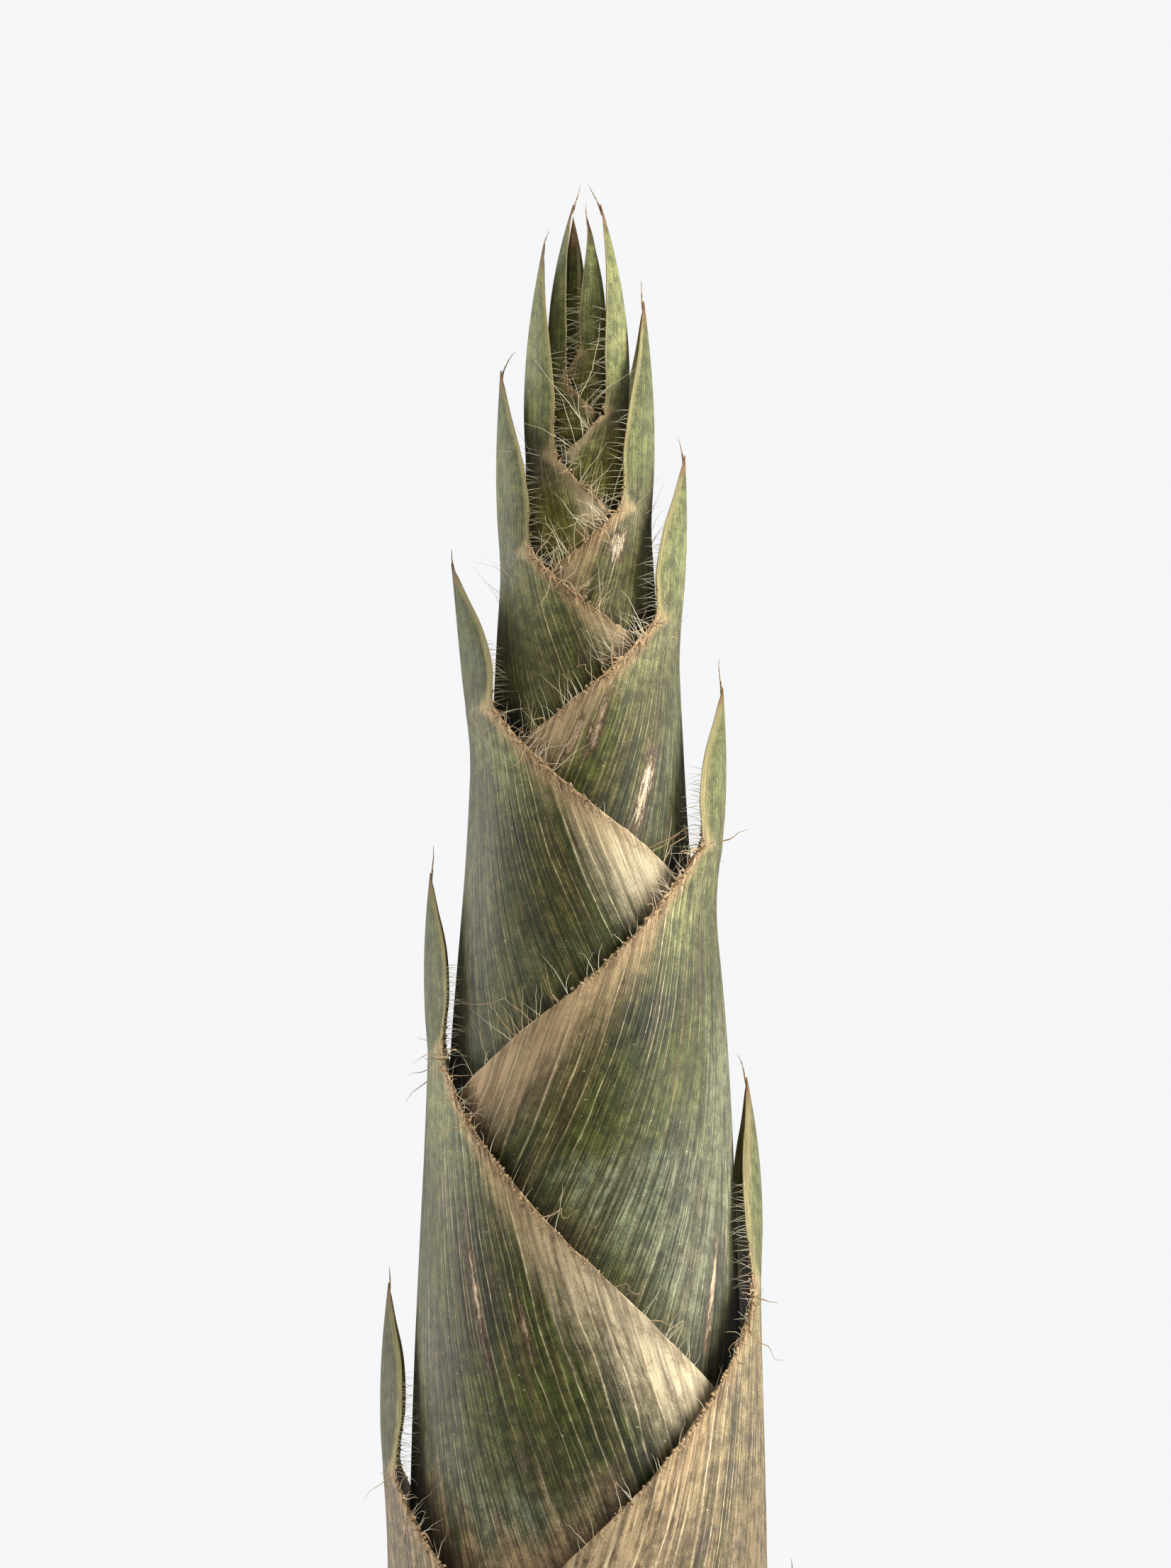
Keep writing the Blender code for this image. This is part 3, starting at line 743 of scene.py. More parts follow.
def cluster_hairs(leaf, strands, sizes):
    """Long hairs that cross between the young leaves at the tip, one for each millimetre of drop."""
    for side in BOTH_SIDES:
        number = strands.count(leaf.shape.drop)
        angle = leaf.shoulder + (math.pi - leaf.shoulder) * strands.random.random(number)
        roots, along, off, out = margin_frame(leaf, angle, side, sizes)
        strands.grow(roots, off + 0.3 * out - 0.3 * along, CROSSING_HAIRS)


def ligule_shreds(leaf, strands, sizes):
    """Torn curly shreds and straighter fibres of the ligule, at the two corners of the blade's foot."""
    radius = leaf.shape.radius
    small = min(1.0, radius / 14)
    for side in BOTH_SIDES:
        number = strands.count(sizes.shreds * leaf.look.shreds)
        angle = leaf.shoulder + (strands.random.beta(1.0, 2.0, number) * 9.0 - 1.0) / max(radius, 6.0)
        roots, along, off, out = margin_frame(leaf, angle, side, sizes)
        aims = strands.between(-0.2, 1.0, number)[:, None] * off + 0.55 * out
        aims = aims + strands.between(-0.8, 0.8, number)[:, None] * along
        span = CURLY_SHREDS.longest - CURLY_SHREDS.shortest
        lengths = CURLY_SHREDS.shortest + span * strands.random.beta(1.0, 2.2, number)
        strands.grow(roots, aims, CURLY_SHREDS, lengths=lengths)
        number = leaf.look.fibres
        angle = leaf.shoulder + (strands.random.random(number) * 6.0 - 1.0) / radius
        roots, along, off, out = margin_frame(leaf, angle, side, sizes)
        aims = along + strands.between(-0.1, 0.25, number)[:, None] * off + 0.12 * out
        strands.grow(roots, aims, STRAIGHT_FIBRES, long=small, thick=small)


def margin_shreds(leaf, strands, sizes):
    """A few long tan shreds that hang off the margins."""
    for side in BOTH_SIDES:
        angle = leaf.shoulder + (2.6 - leaf.shoulder) * strands.random.random(HANGING_COUNT)
        roots, along, off, out = margin_frame(leaf, angle, side, sizes)
        aims = off + 0.35 * out + strands.between(-0.6, 0.6, HANGING_COUNT)[:, None] * along
        strands.grow(roots, aims, HANGING_SHREDS)


def blade_tip(leaf, strands):
    """The dry thread that a blade ends in."""
    share = np.array([0.95])
    root = leaf.turned(leaf.blade_point(0 * share, share, 0.15))
    way = leaf.turned(leaf.blade_point(0 * share, share + 0.04, 0.15)) - root
    length = min(4.5, 0.14 * leaf.blade + 1.2)
    strands.add(root, unit(way), length, 0.16, 0.05, 0.22)


class Crumbs(Cloud):
    """Small bodies, each with its place, direction and size."""

    columns = {"aim": slice(3, 6), "size": 6}

    def add(self, places, aims, sizes):
        """Adds bodies at the places."""
        self.rows.append(np.hstack([places, unit(aims), np.broadcast_to(sizes, places.shape[:1])[:, None]]))


def margin_crust(leaf, crumbs, sizes):
    """Rusty crumbs on the upper part of a sheath's margins and on the edges of the blade's foot."""
    reach, foot = 0.45, 0.25  # how far they go round the margin and up the blade, as shares
    span = math.pi - leaf.shoulder
    for side in BOTH_SIDES:
        number = int(sizes.crust_density * leaf.look.crust * (reach * leaf.shape.radius * span))
        angle = leaf.shoulder + reach * span * crumbs.random.beta(1.0, 1.7, number)
        places, _, off, _ = margin_frame(leaf, angle, side, sizes)
        places = places + crumbs.random.normal(-0.1, 0.2, number)[:, None] * off
        crumbs.add(places, crumbs.random.normal(0, 1, places.shape), crumbs.between(0.1, 0.32, number))
        number = int(0.5 * sizes.crust_density * foot * leaf.blade)
        share = foot * crumbs.random.beta(1.0, 1.5, number)
        places = blade_frame(leaf, share, side)[0] + crumbs.random.normal(0, 0.12, (number, 3))
        crumbs.add(places, crumbs.random.normal(0, 1, places.shape), crumbs.between(0.1, 0.25, number))


def root_buds(crumbs):
    """Two staggered rows of blunt buds round the bare base."""
    radii, heights = np.array(BASE_PROFILE).T
    for row, height in enumerate(ROOT_BUD_ROWS):
        angle = 2 * math.pi * (np.arange(ROOT_BUDS) + 0.5 * row) / ROOT_BUDS
        radius = np.interp(height, heights, radii) + ROOT_BUD_HEIGHT
        out = np.stack([np.cos(angle), np.sin(angle), 0 * angle], -1)
        crumbs.add(radius * out + (0, 0, height), out, crumbs.between(0.92, 1.1, ROOT_BUDS))


# ---- Node trees ----


class Tree:
    """Adds nodes to a tree and links them; inputs go by name or place and are sockets or plain values."""

    def __init__(self, tree):
        self.tree = tree

    def add(self, kind, inputs=None, **settings):
        """A new node with these settings and inputs."""
        node = self.tree.nodes.new(kind)
        for key, value in settings.items():
            setattr(node, key, value)
        self.fill(node.inputs, inputs or {})
        return node

    def fill(self, sockets, values):
        """Feeds several of a node's inputs."""
        for key, value in values.items():
            self.feed(sockets[key], value)

    def feed(self, socket, value):
        """Links a socket to an input, or gives the input a plain value."""
        if isinstance(value, bpy.types.NodeSocket):
            self.tree.links.new(value, socket)
        elif socket.type == "RGBA" and len(value) == 3:
            socket.default_value = (*value, 1.0)
        else:
            socket.default_value = value

    def math(self, operation, *values, clamp=False):
        """One step of arithmetic."""
        inputs = dict(enumerate(values))
        return self.add("ShaderNodeMath", inputs, operation=operation, use_clamp=clamp).outputs[0]

    def times(self, first, *others):
        """The product of the values, taken from left to right."""
        for other in others:
            first = self.math("MULTIPLY", first, other)
        return first

    def vector_math(self, operation, *vectors, **inputs):
        """One step of arithmetic on vectors."""
        inputs.update(enumerate(vectors))
        return self.add("ShaderNodeVectorMath", inputs, operation=operation).outputs[0]

    def mix(self, factor, first, second, blend="MIX"):
        """The first colour, turning into the second as the factor goes from 0 to 1."""
        inputs = {"Factor": factor, 6: first, 7: second}
        kind = {"data_type": "RGBA", "blend_type": blend, "clamp_factor": True}
        return self.add("ShaderNodeMix", inputs, **kind).outputs[2]

    def number_mix(self, factor, first, second):
        """The first number, turning into the second as the factor goes from 0 to 1."""
        inputs = {"Factor": factor, 2: first, 3: second}
        return self.add("ShaderNodeMix", inputs, data_type="FLOAT", clamp_factor=True).outputs[0]

    def coats(self, colour, *coats):
        """The colour under coats, each a mask and a colour, the last one on top."""
        for mask, coat in coats:
            colour = self.mix(mask, colour, coat)
        return colour

    def rise(self, value, low, high, bottom=0.0, top=1.0):
        """Goes smoothly from bottom to top as the value goes from low to high."""
        inputs = {"Value": value, "From Min": low, "From Max": high, "To Min": bottom, "To Max": top}
        return self.add("ShaderNodeMapRange", inputs, interpolation_type="SMOOTHSTEP").outputs[0]

    def fall(self, value, low, high):
        """Goes smoothly from 1 to 0 as the value goes from low to high."""
        return self.rise(value, low, high, 1.0, 0.0)

    def vector(self, x, y, z):
        """A vector from its three parts."""
        return self.add("ShaderNodeCombineXYZ", {"X": x, "Y": y, "Z": z}).outputs[0]

    def noise(self, vector, scale, detail=2.0, roughness=0.5):
        """Smooth noise about 0.5."""
        inputs = {"Vector": vector, "Scale": scale, "Detail": detail, "Roughness": roughness}
        return self.add("ShaderNodeTexNoise", inputs).outputs["Fac"]

    def place(self):
        """The point on the object, in metres."""
        return self.add("ShaderNodeTexCoord").outputs["Object"]

    def bump(self, height, strength, depth):
        """The surface's normal with a fine relief, its depth in millimetres."""
        inputs = {"Height": height, "Strength": strength, "Distance": depth * MM}
        return self.add("ShaderNodeBump", inputs).outputs["Normal"]

    def attribute(self, name):
        """A value that the mesh holds at each of its points."""
        return self.add("ShaderNodeAttribute", attribute_name=name).outputs["Fac"]

    def group(self, tree, **inputs):
        """The outputs of a shared group; its inputs are named in small letters."""
        node = self.add("ShaderNodeGroup", node_tree=tree)
        self.fill(node.inputs, {key.replace("_", " ").title(): value for key, value in inputs.items()})
        return node.outputs


class GeometryTree(Tree):
    """A geometry node tree with named inputs."""

    def __init__(self, name, floats, whole):
        super().__init__(bpy.data.node_groups.new(name, "GeometryNodeTree"))
        face = self.tree.interface
        face.new_socket("Geometry", in_out="INPUT", socket_type="NodeSocketGeometry")
        face.new_socket("Geometry", in_out="OUTPUT", socket_type="NodeSocketGeometry")
        for kind, inputs in (("NodeSocketFloat", floats), ("NodeSocketInt", whole)):
            for label, value in inputs.items():
                face.new_socket(label, in_out="INPUT", socket_type=kind).default_value = value
        face.new_socket("Material", in_out="INPUT", socket_type="NodeSocketMaterial")
        self.given = self.tree.nodes.new("NodeGroupInput").outputs
        self.out = self.tree.nodes.new("NodeGroupOutput").inputs

    def named(self, label, kind="FLOAT"):
        """A value that the anchors hold at each point."""
        return self.add("GeometryNodeInputNamedAttribute", {"Name": label}, data_type=kind).outputs[0]

    def on_anchors(self, instance, size):
        """The instance on every anchor, turned to its aim and scaled alike in all directions."""
        aim = {"Vector": self.named("aim", "FLOAT_VECTOR")}
        turn = self.add("FunctionNodeAlignRotationToVector", aim, axis="Z").outputs[0]
        inputs = {"Points": self.given["Geometry"], "Instance": instance, "Rotation": turn}
        inputs["Scale"] = self.vector(size, size, size)
        return self.add("GeometryNodeInstanceOnPoints", inputs).outputs[0]

    def realized(self, geometry):
        """The geometry with its instances made real."""
        return self.add("GeometryNodeRealizeInstances", {"Geometry": geometry}).outputs[0]

    def finish(self, geometry):
        """Ends the tree with real geometry that has its material."""
        inputs = {"Geometry": self.realized(geometry), "Material": self.given["Material"]}
        self.feed(self.out["Geometry"], self.add("GeometryNodeSetMaterial", inputs).outputs[0])
        return self.tree


def strand_tree():
    """Grows a tapering curved hair from each point, along its aim, with its own length, sag and radius."""
    t = GeometryTree("Strands", {"Wander": 0.2}, {"Segments": 6, "Sides": 3, "Seed": 1})
    ends = {"Start": (0, 0, 0), "End": (0, 0, 1)}
    line = t.add("GeometryNodeCurvePrimitiveLine", ends, mode="POINTS").outputs[0]
    points = t.math("ADD", t.given["Segments"], 1)
    line = t.add("GeometryNodeResampleCurve", {"Curve": line, "Count": points}).outputs[0]
    curves = t.realized(t.on_anchors(line, t.named("length")))
    share = t.add("GeometryNodeSplineParameter").outputs["Factor"]
    fall = t.vector_math("SCALE", t.named("sag", "FLOAT_VECTOR"), Scale=t.times(share, share))
    position = t.add("GeometryNodeInputPosition").outputs[0]
    inputs = {"Vector": t.vector_math("SCALE", position, Scale=1 / MM), "W": t.given["Seed"], "Scale": 0.45}
    noise = t.add("ShaderNodeTexNoise", inputs, noise_dimensions="4D").outputs["Color"]
    bend = t.vector_math("SUBTRACT", noise, (0.5, 0.5, 0.5))
    bend = t.vector_math("SCALE", bend, Scale=t.times(share, t.named("length"), t.given["Wander"]))
    inputs = {"Geometry": curves, "Offset": t.vector_math("ADD", fall, bend)}
    curves = t.add("GeometryNodeSetPosition", inputs).outputs[0]
    radius = t.times(t.named("thick"), t.math("MULTIPLY_ADD", share, -0.85, 1.0))
    inputs = {"Resolution": t.given["Sides"], "Radius": 1.0}
    circle = t.add("GeometryNodeCurvePrimitiveCircle", inputs).outputs[0]
    inputs = {"Curve": curves, "Profile Curve": circle, "Scale": radius, "Fill Caps": True}
    return t.finish(t.add("GeometryNodeCurveToMesh", inputs).outputs[0])


def scatter_tree(name, body):
    """Puts a small body on each point, turned to its aim and scaled by its size."""
    t = GeometryTree(name, {"Radius": 1.0, "Height": 1.0}, {"Detail": 1})
    radius, height, detail = (t.given[key] for key in ("Radius", "Height", "Detail"))
    if body == "cone":
        inputs = {"Vertices": detail, "Radius Bottom": radius, "Depth": height}
        inputs["Radius Top"] = t.times(radius, ROOT_BUD_TAPER)
        solid = t.add("GeometryNodeMeshCone", inputs).outputs["Mesh"]
        shift = {"Translation": t.vector(0.0, 0.0, t.times(height, -1.0))}
    else:
        solid = t.add("GeometryNodeMeshIcoSphere", {"Radius": radius, "Subdivisions": detail}).outputs[0]
        shift = {"Scale": t.vector(1.0, 0.7, height)}
    solid = t.add("GeometryNodeTransform", {"Geometry": solid, **shift}).outputs[0]
    return t.finish(t.on_anchors(solid, t.named("size")))


def grown_mesh(cloud, tree, material, **settings):
    """The mesh that a geometry tree makes of a cloud's points, with nothing left of the tree on it."""
    anchors = cloud.anchors()
    root = bpy.data.objects.new(anchors.name, anchors)
    bpy.context.scene.collection.objects.link(root)
    modifier = root.modifiers.new("grow", "NODES")
    modifier.node_group = tree
    sockets = {item.name: item.identifier for item in tree.interface.items_tree if item.in_out == "INPUT"}
    modifier[sockets["Material"]] = material
    for key, value in settings.items():
        modifier[sockets[key.title()]] = value
    bpy.context.view_layer.update()
    graph = bpy.context.evaluated_depsgraph_get()
    grown = root.evaluated_get(graph)
    mesh = bpy.data.meshes.new_from_object(grown, preserve_all_data_layers=True, depsgraph=graph)
    if not mesh.polygons:
        raise RuntimeError(f"{cloud.name}: the tree made no faces")
    mesh.name = cloud.name
    root.modifiers.remove(modifier)
    bpy.data.objects.remove(root)
    bpy.data.meshes.remove(anchors)
    return mesh


# ---- Finishes ----


def shader_group(name, inputs, outputs):
    """An empty node group with named float inputs and outputs, and the sockets inside it."""
    tree = bpy.data.node_groups.new(name, "ShaderNodeTree")
    kind = "NodeSocketFloat"
    for label, default in inputs.items():
        tree.interface.new_socket(label, in_out="INPUT", socket_type=kind).default_value = default
    for label in outputs:
        tree.interface.new_socket(label, in_out="OUTPUT", socket_type=kind)
    return Tree(tree), tree.nodes.new("NodeGroupInput").outputs, tree.nodes.new("NodeGroupOutput").inputs


LEAF_SPACE = {"Vein": 0.0, "Side": 0.0, "Along": 0.0, "Seed": 0.0}


def leaf_noise(t, given, across, along, detail, roughness=0.5):
    """Noise that follows the veins: stretched across by the vein count and along in millimetres."""
    return t.noise(leaf_vector(t, given, across, along), 1.0, detail, roughness)


def leaf_vector(t, given, across, along):
    """Coordinates that follow the veins."""
    x = t.times(given["Vein"], across)
    y = t.times(given["Along"], along)
    z = t.math("MULTIPLY_ADD", given["Side"], 2.7, given["Seed"])
    return t.vector(x, y, z)


def vein_group():
    """Thin pale main veins, the streaks between them from coarse to fine, and their height for the bump."""
    outputs = ("Line", "Wide", "Fine", "Fibre", "Height")
    t, given, out = shader_group("Leaf veins", {**LEAF_SPACE, "Width": 0.2}, outputs)
    shifted = t.math("MULTIPLY_ADD", leaf_noise(t, given, 0.35, 0.07, 2.0), 0.8, given["Vein"])
    off = t.math("PINGPONG", t.math("ADD", shifted, 0.1), 0.5)
    line = t.fall(off, 0.0, t.times(given["Width"], 0.5))
    between = t.rise(t.math("SUBTRACT", 0.5, off), 0.0, t.times(given["Width"], 0.4), 0.45, 0.0)
    line = t.math("MAXIMUM", line, between)
    strength = t.rise(leaf_noise(t, given, 1.3, 0.02, 3.0, 0.6), 0.38, 0.58, 0.25, 1.0)
    broken = t.rise(leaf_noise(t, given, 3.0, 0.3, 3.0, 0.7), 0.35, 0.55, 0.5, 1.0)
    t.feed(out["Line"], t.times(line, strength, broken))
    wide = leaf_noise(t, given, 1.1, 0.03, 3.0, 0.6)
    fine = leaf_noise(t, given, 4.5, 0.08, 3.0, 0.65)
    fibre = leaf_noise(t, given, 13.0, 0.35, 3.0, 0.7)
    t.feed(out["Wide"], wide)
    t.feed(out["Fine"], fine)
    t.feed(out["Fibre"], fibre)
    t.feed(out["Height"], t.math("ADD", t.times(line, 0.5), t.math("ADD", fine, fibre)))
    return t.tree


def margin_group():
    """Masks of the dry band along a leaf's free edge, of the crust on the edge and of mottles in the band."""
    inputs = {**LEAF_SPACE, "Edge": 0.0, "Width": 4.0}
    t, given, out = shader_group("Leaf margin", inputs, ("Band", "Rim", "Mottle"))
    patch = leaf_noise(t, given, 0.16, 0.045, 2.0, 0.6)
    comb = leaf_noise(t, given, 1.4, 0.05, 3.0, 0.65)
    reach = t.math("MULTIPLY_ADD", comb, 1.3, t.times(patch, 1.0))
    reach = t.times(t.math("SUBTRACT", reach, 0.15), given["Width"])
    soft = t.math("MULTIPLY_ADD", given["Width"], 0.8, 0.6)
    inside = t.math("DIVIDE", t.math("SUBTRACT", reach, given["Edge"]), soft)
    t.feed(out["Band"], t.rise(inside, -0.8, 0.7))
    crumbs = leaf_noise(t, given, 3.1, 1.6, 4.0, 0.75)
    t.feed(out["Rim"], t.fall(t.math("MULTIPLY_ADD", crumbs, -4.4, given["Edge"]), -1.5, -0.5))
    t.feed(out["Mottle"], t.rise(leaf_noise(t, given, 1.6, 0.25, 4.0, 0.75), 0.47, 0.64))
    return t.tree


# Small dots on the leaves: output, how close across and along, smallest and largest radius, and their seed
DOTS = (("Speck", 1.1, 0.8, 0.05, 0.11, 3.1), ("Fleck", 0.5, 0.28, 0.04, 0.13, 8.3))


def weather_group():
    """Masks of dark streaks along the veins, broad blotches, pale specks and dark flecks."""
    outputs = ("Streak", "Blotch", "Speck", "Fleck", "Cloud")
    t, given, out = shader_group("Leaf weathering", LEAF_SPACE, outputs)
    t.feed(out["Streak"], t.rise(leaf_noise(t, given, 0.9, 0.045, 4.0, 0.65), 0.56, 0.72))
    t.feed(out["Blotch"], t.rise(leaf_noise(t, given, 0.2, 0.09, 5.0, 0.65), 0.52, 0.66))
    t.feed(out["Cloud"], t.rise(leaf_noise(t, given, 0.12, 0.04, 3.0), 0.35, 0.65))
    for label, across, along, small, large, seed in DOTS:
        place = t.vector_math("ADD", leaf_vector(t, given, across, along), (seed, seed, seed))
        cell = t.add("ShaderNodeTexVoronoi", {"Vector": place, "Scale": 1.0}, feature="F1").outputs
        chance = t.add("ShaderNodeSeparateColor", {"Color": cell["Color"]}).outputs[0]
        t.feed(out[label], t.times(t.fall(cell["Distance"], small, large), t.rise(chance, 0.55, 0.6)))
    return t.tree


def scar_group():
    """Mask of one long scar with ragged ends, given the place of its middle and half its size."""
    given_sizes = {"Middle Vein": 0.0, "Middle Along": 0.0, "Half Width": 1.0, "Half Length": 10.0}
    t, given, out = shader_group("Leaf scar", {**LEAF_SPACE, **given_sizes}, ("Scar", "Rind"))
    across = t.math("DIVIDE", t.math("SUBTRACT", given["Vein"], given["Middle Vein"]), given["Half Width"])
    along = t.math("DIVIDE", t.math("SUBTRACT", given["Along"], given["Middle Along"]), given["Half Length"])
    away = t.math("SQRT", t.math("ADD", t.math("POWER", across, 2.0), t.math("POWER", along, 2.0)))
    depth = t.math("MULTIPLY_ADD", leaf_noise(t, given, 2.2, 0.3, 4.0, 0.75), 3.4, away)
    t.feed(out["Scar"], t.rise(depth, 2.05, 2.3, 0.85, 0.0))
    t.feed(out["Rind"], t.rise(depth, 2.3, 2.9, 0.8, 0.0))
    return t.tree


# The shader groups that the leaves share: their names and makers
LEAF_GROUPS = {
    "veins": ("Leaf veins", vein_group),
    "margin": ("Leaf margin", margin_group),
    "weather": ("Leaf weathering", weather_group),
    "scar": ("Leaf scar", scar_group),
}

# Old wounds: leaf number, vein and millimetres above the ligule of the middle, half width in veins, half
# length in millimetres, which side of the leaf's midline, and how creamy the bare flesh is
SCARS = (
    (7, 23.9, -29.0, 0.5, 11.0, 1, 0.1),
    (7, 27.5, -34.0, 0.3, 5.0, 1, 0.0),
    (8, 8.9, -56.0, 0.5, 8.0, -1, 0.2),
    (8, 6.6, -49.0, 0.25, 5.0, -1, 0.2),
    (10, 21.4, -12.7, 0.7, 4.5, -1, 0.0),
    (10, 23.0, -14.0, 0.45, 3.5, -1, 0.0),
    (10, 13.8, -20.9, 1.2, 9.0, -1, 0.45),
    (12, 14.5, -4.4, 1.6, 2.6, -1, 0.6),
)


def leaf_groups():
    """The shader groups that the leaves share, made once."""
    made = bpy.data.node_groups
    return {key: made.get(name) or maker() for key, (name, maker) in LEAF_GROUPS.items()}


def new_material(name):
    """An empty material, its tree and the inputs of its surface."""
    made = bpy.data.materials.new(name)
    made.use_nodes = True
    return made, Tree(made.node_tree), made.node_tree.nodes["Principled BSDF"].inputs


def leaf_material(name, look, number, girth, colours, groups):
    """A leaf's finish: streaked green flesh, grey bloom, pale veins, dry margins, and its own marks."""
    made, t, surface = new_material(name)
    space = {key: t.attribute(key) for key in ("vein", "side", "along")}
    space["seed"] = 7.3 * number
    edge, tip, bare = (t.attribute(key) for key in ("edge", "tip", "bare"))
    on_blade = t.rise(space["along"], -1.0, 3.0)
    on_sheath = t.fall(on_blade, 0.0, 1.0)
    edge = t.times(edge, t.rise(space["along"], 0.5, 4.0, 1.0, look.trim))
    below = t.times(space["along"], -1 / girth)
    # The dry margin widens down the sheath and again on the blade
    widening = t.rise(below, 2.0, 46.0, 0.22, 1.6)
    width = t.times(look.band, t.times(widening, t.rise(space["along"], -2.0, 2.0, 1.0, 3.0)))
    veins = t.group(groups["veins"], **space, width=0.15)
    margin = t.group(groups["margin"], **space, edge=edge, width=width)
    weather = t.group(groups["weather"], **space)

    # Living flesh, lighter on the blade and near the margins; the look's blade and bloom shares, lower on the
    # left-hand leaves, also paint shade there
    green = t.mix(t.times(weather["Cloud"], 0.4 + 0.6 * look.bloom), colours.green_dark, colours.green)
    lit = t.times(t.rise(edge, 4.0 * girth, 20.0 * girth, 0.45, 0.0), t.fall(below, 4.0, 24.0))
    green = t.coats(
        green,
        (t.rise(veins["Wide"], 0.46, 0.62, 0.0, 0.8), colours.olive),
        (look.fresh, colours.green_fresh),
        (t.times(on_blade, 0.75), t.mix(look.blade, colours.green, colours.blade_light)),
        (t.times(lit, on_sheath), colours.blade_light),
    )

    # Waxy bloom, strongest in the middle of a sheath, rubbed off where the next leaf covers it and thinned in
    # the painted shade beside the blade feet; thinner on the left-hand leaves, partly as painted shade
    bloomed = t.math("MULTIPLY_ADD", t.rise(edge, 16.0 * girth, 42.0 * girth), 0.62, 0.03)
    bloomed = t.times(
        bloomed,
        t.rise(veins["Fine"], 0.36, 0.66, 0.25 * look.bloom, 1.3 * look.bloom),
        t.rise(bare, 1.0, 11.0 * girth, 0.15, 1.0),
        t.rise(on_blade, 0.0, 1.0, 1.0 - 0.5 * look.fresh, 0.25),
    )
    colour = t.mix(bloomed, green, colours.bloom)

    # Dried, browned and stained parts
    if look.dry:
        dried = t.mix(t.rise(veins["Wide"], 0.4, 0.62), colours.bark, colours.tan)
        dryness = t.math("MULTIPLY_ADD", weather["Cloud"], 0.35, look.dry, clamp=True)
        colour = t.mix(t.times(dryness, t.rise(on_blade, 0.0, 1.0, 1.0, 0.12)), colour, dried)
    if number <= OLD_LEAVES:
        patchy = t.noise(t.vector(t.times(space["vein"], 0.5), t.times(below, 0.05), 0), 1.0, 4.0, 0.65)
        low = t.rise(t.math("MULTIPLY_ADD", patchy, 44.0, below), 69.0, 81.0)
        foot = t.mix(weather["Streak"], colours.tan, colours.purple)
        colour = t.mix(t.times(low, 0.75), colour, foot)
    stained = t.times(t.rise(space["along"], -6.0, -0.5), t.fall(space["along"], 1.0, 7.0))
    colour = t.coats(
        colour,
        (t.times(weather["Blotch"], 0.75 * look.spoiled), colours.purple),
        (t.times(weather["Streak"], 0.75 * look.spoiled), colours.bark),
        (t.times(stained, 0.8 * look.stain), colours.purple),
    )

    # The dry margin: straw to pink beige, cream low down, its own colour on the blade, mottled
    pink = t.rise(below, 18.0, 38.0, 0.0, look.pink)
    pale_from = 13.0 * (1.0 - look.fresh)
    streaky = t.mix(t.times(pink, 0.5), colours.tan, colours.purple)
    straw = t.coats(
        t.mix(pink, colours.straw, colours.pink_beige),
        (t.rise(veins["Wide"], 0.42, 0.62, 0.05, 0.6), streaky),
        (t.rise(below, pale_from, pale_from + 18.0, 0.0, look.pale), colours.cream),
        (on_blade, colours.blade_edge),
        (t.times(margin["Mottle"], 0.1 + 0.6 * look.spoiled), colours.bark),
    )

    # Veins, flecks and specks
    lines = t.times(veins["Line"], t.rise(edge, 8.0 * girth, 24.0 * girth, 0.95, 0.35))
    lines = t.times(lines, t.rise(on_blade, 0.0, 1.0, 1.0, 0.35))
    colour = t.coats(
        colour,
        (t.times(margin["Band"], 0.92), straw),
        (lines, colours.vein),
        (t.times(weather["Fleck"], 0.6), colours.bark),
        (t.times(weather["Speck"], 0.55), colours.vein),
    )

    # Scars, then the rusty crust on the free edge and the tip
    for leaf_number, vein, along, half_width, half_length, side, creamy in SCARS:
        if leaf_number == number:
            middle = {"middle_vein": vein, "middle_along": along}
            scar = t.group(groups["scar"], **space, **middle, half_width=half_width, half_length=half_length)
            here = t.math("GREATER_THAN", t.times(space["side"], side), 0.0)
            flesh = t.mix(creamy, colours.scar, colours.cream)
            rind = (t.times(scar["Rind"], here), colours.bark)
            colour = t.coats(colour, rind, (t.times(scar["Scar"], here), flesh))
    crusty = t.rise(below, 8.0, 26.0, 1.0 - 0.75 * look.fresh, 0.15)
    crust = t.times(margin["Rim"], t.times(crusty, t.rise(tip, 0.0, 0.15, 1.0, 0.1)))
    crumbly = t.mix(t.rise(veins["Fibre"], 0.42, 0.6), colours.bark, colours.straw)
    colour = t.coats(colour, (crust, crumbly), (t.rise(tip, 0.82, 0.97), colours.rust))

    # Fine grain, smoother in the dry margin, and painted shade just above the margins of the leaves outside and
    # beside their blade feet
    place = t.place()
    grain = t.noise(place, 5200.0, 2.0, 0.6)
    tone = t.times(
        t.rise(veins["Fibre"], 0.3, 0.7, 0.72, 1.28),
        t.rise(grain, 0.3, 0.7, 0.72, 1.28),
        t.rise(veins["Fine"], 0.35, 0.65, 0.54, 1.34),
        t.rise(t.noise(place, 650.0, 3.0, 0.6), 0.35, 0.65, 0.66, 1.3),
    )
    smooth_tone = t.rise(veins["Fine"], 0.35, 0.6, 0.84 - 0.38 * look.spoiled, 1.14)
    smooth_tone = t.times(smooth_tone, t.rise(grain, 0.3, 0.7, 0.88, 1.1))
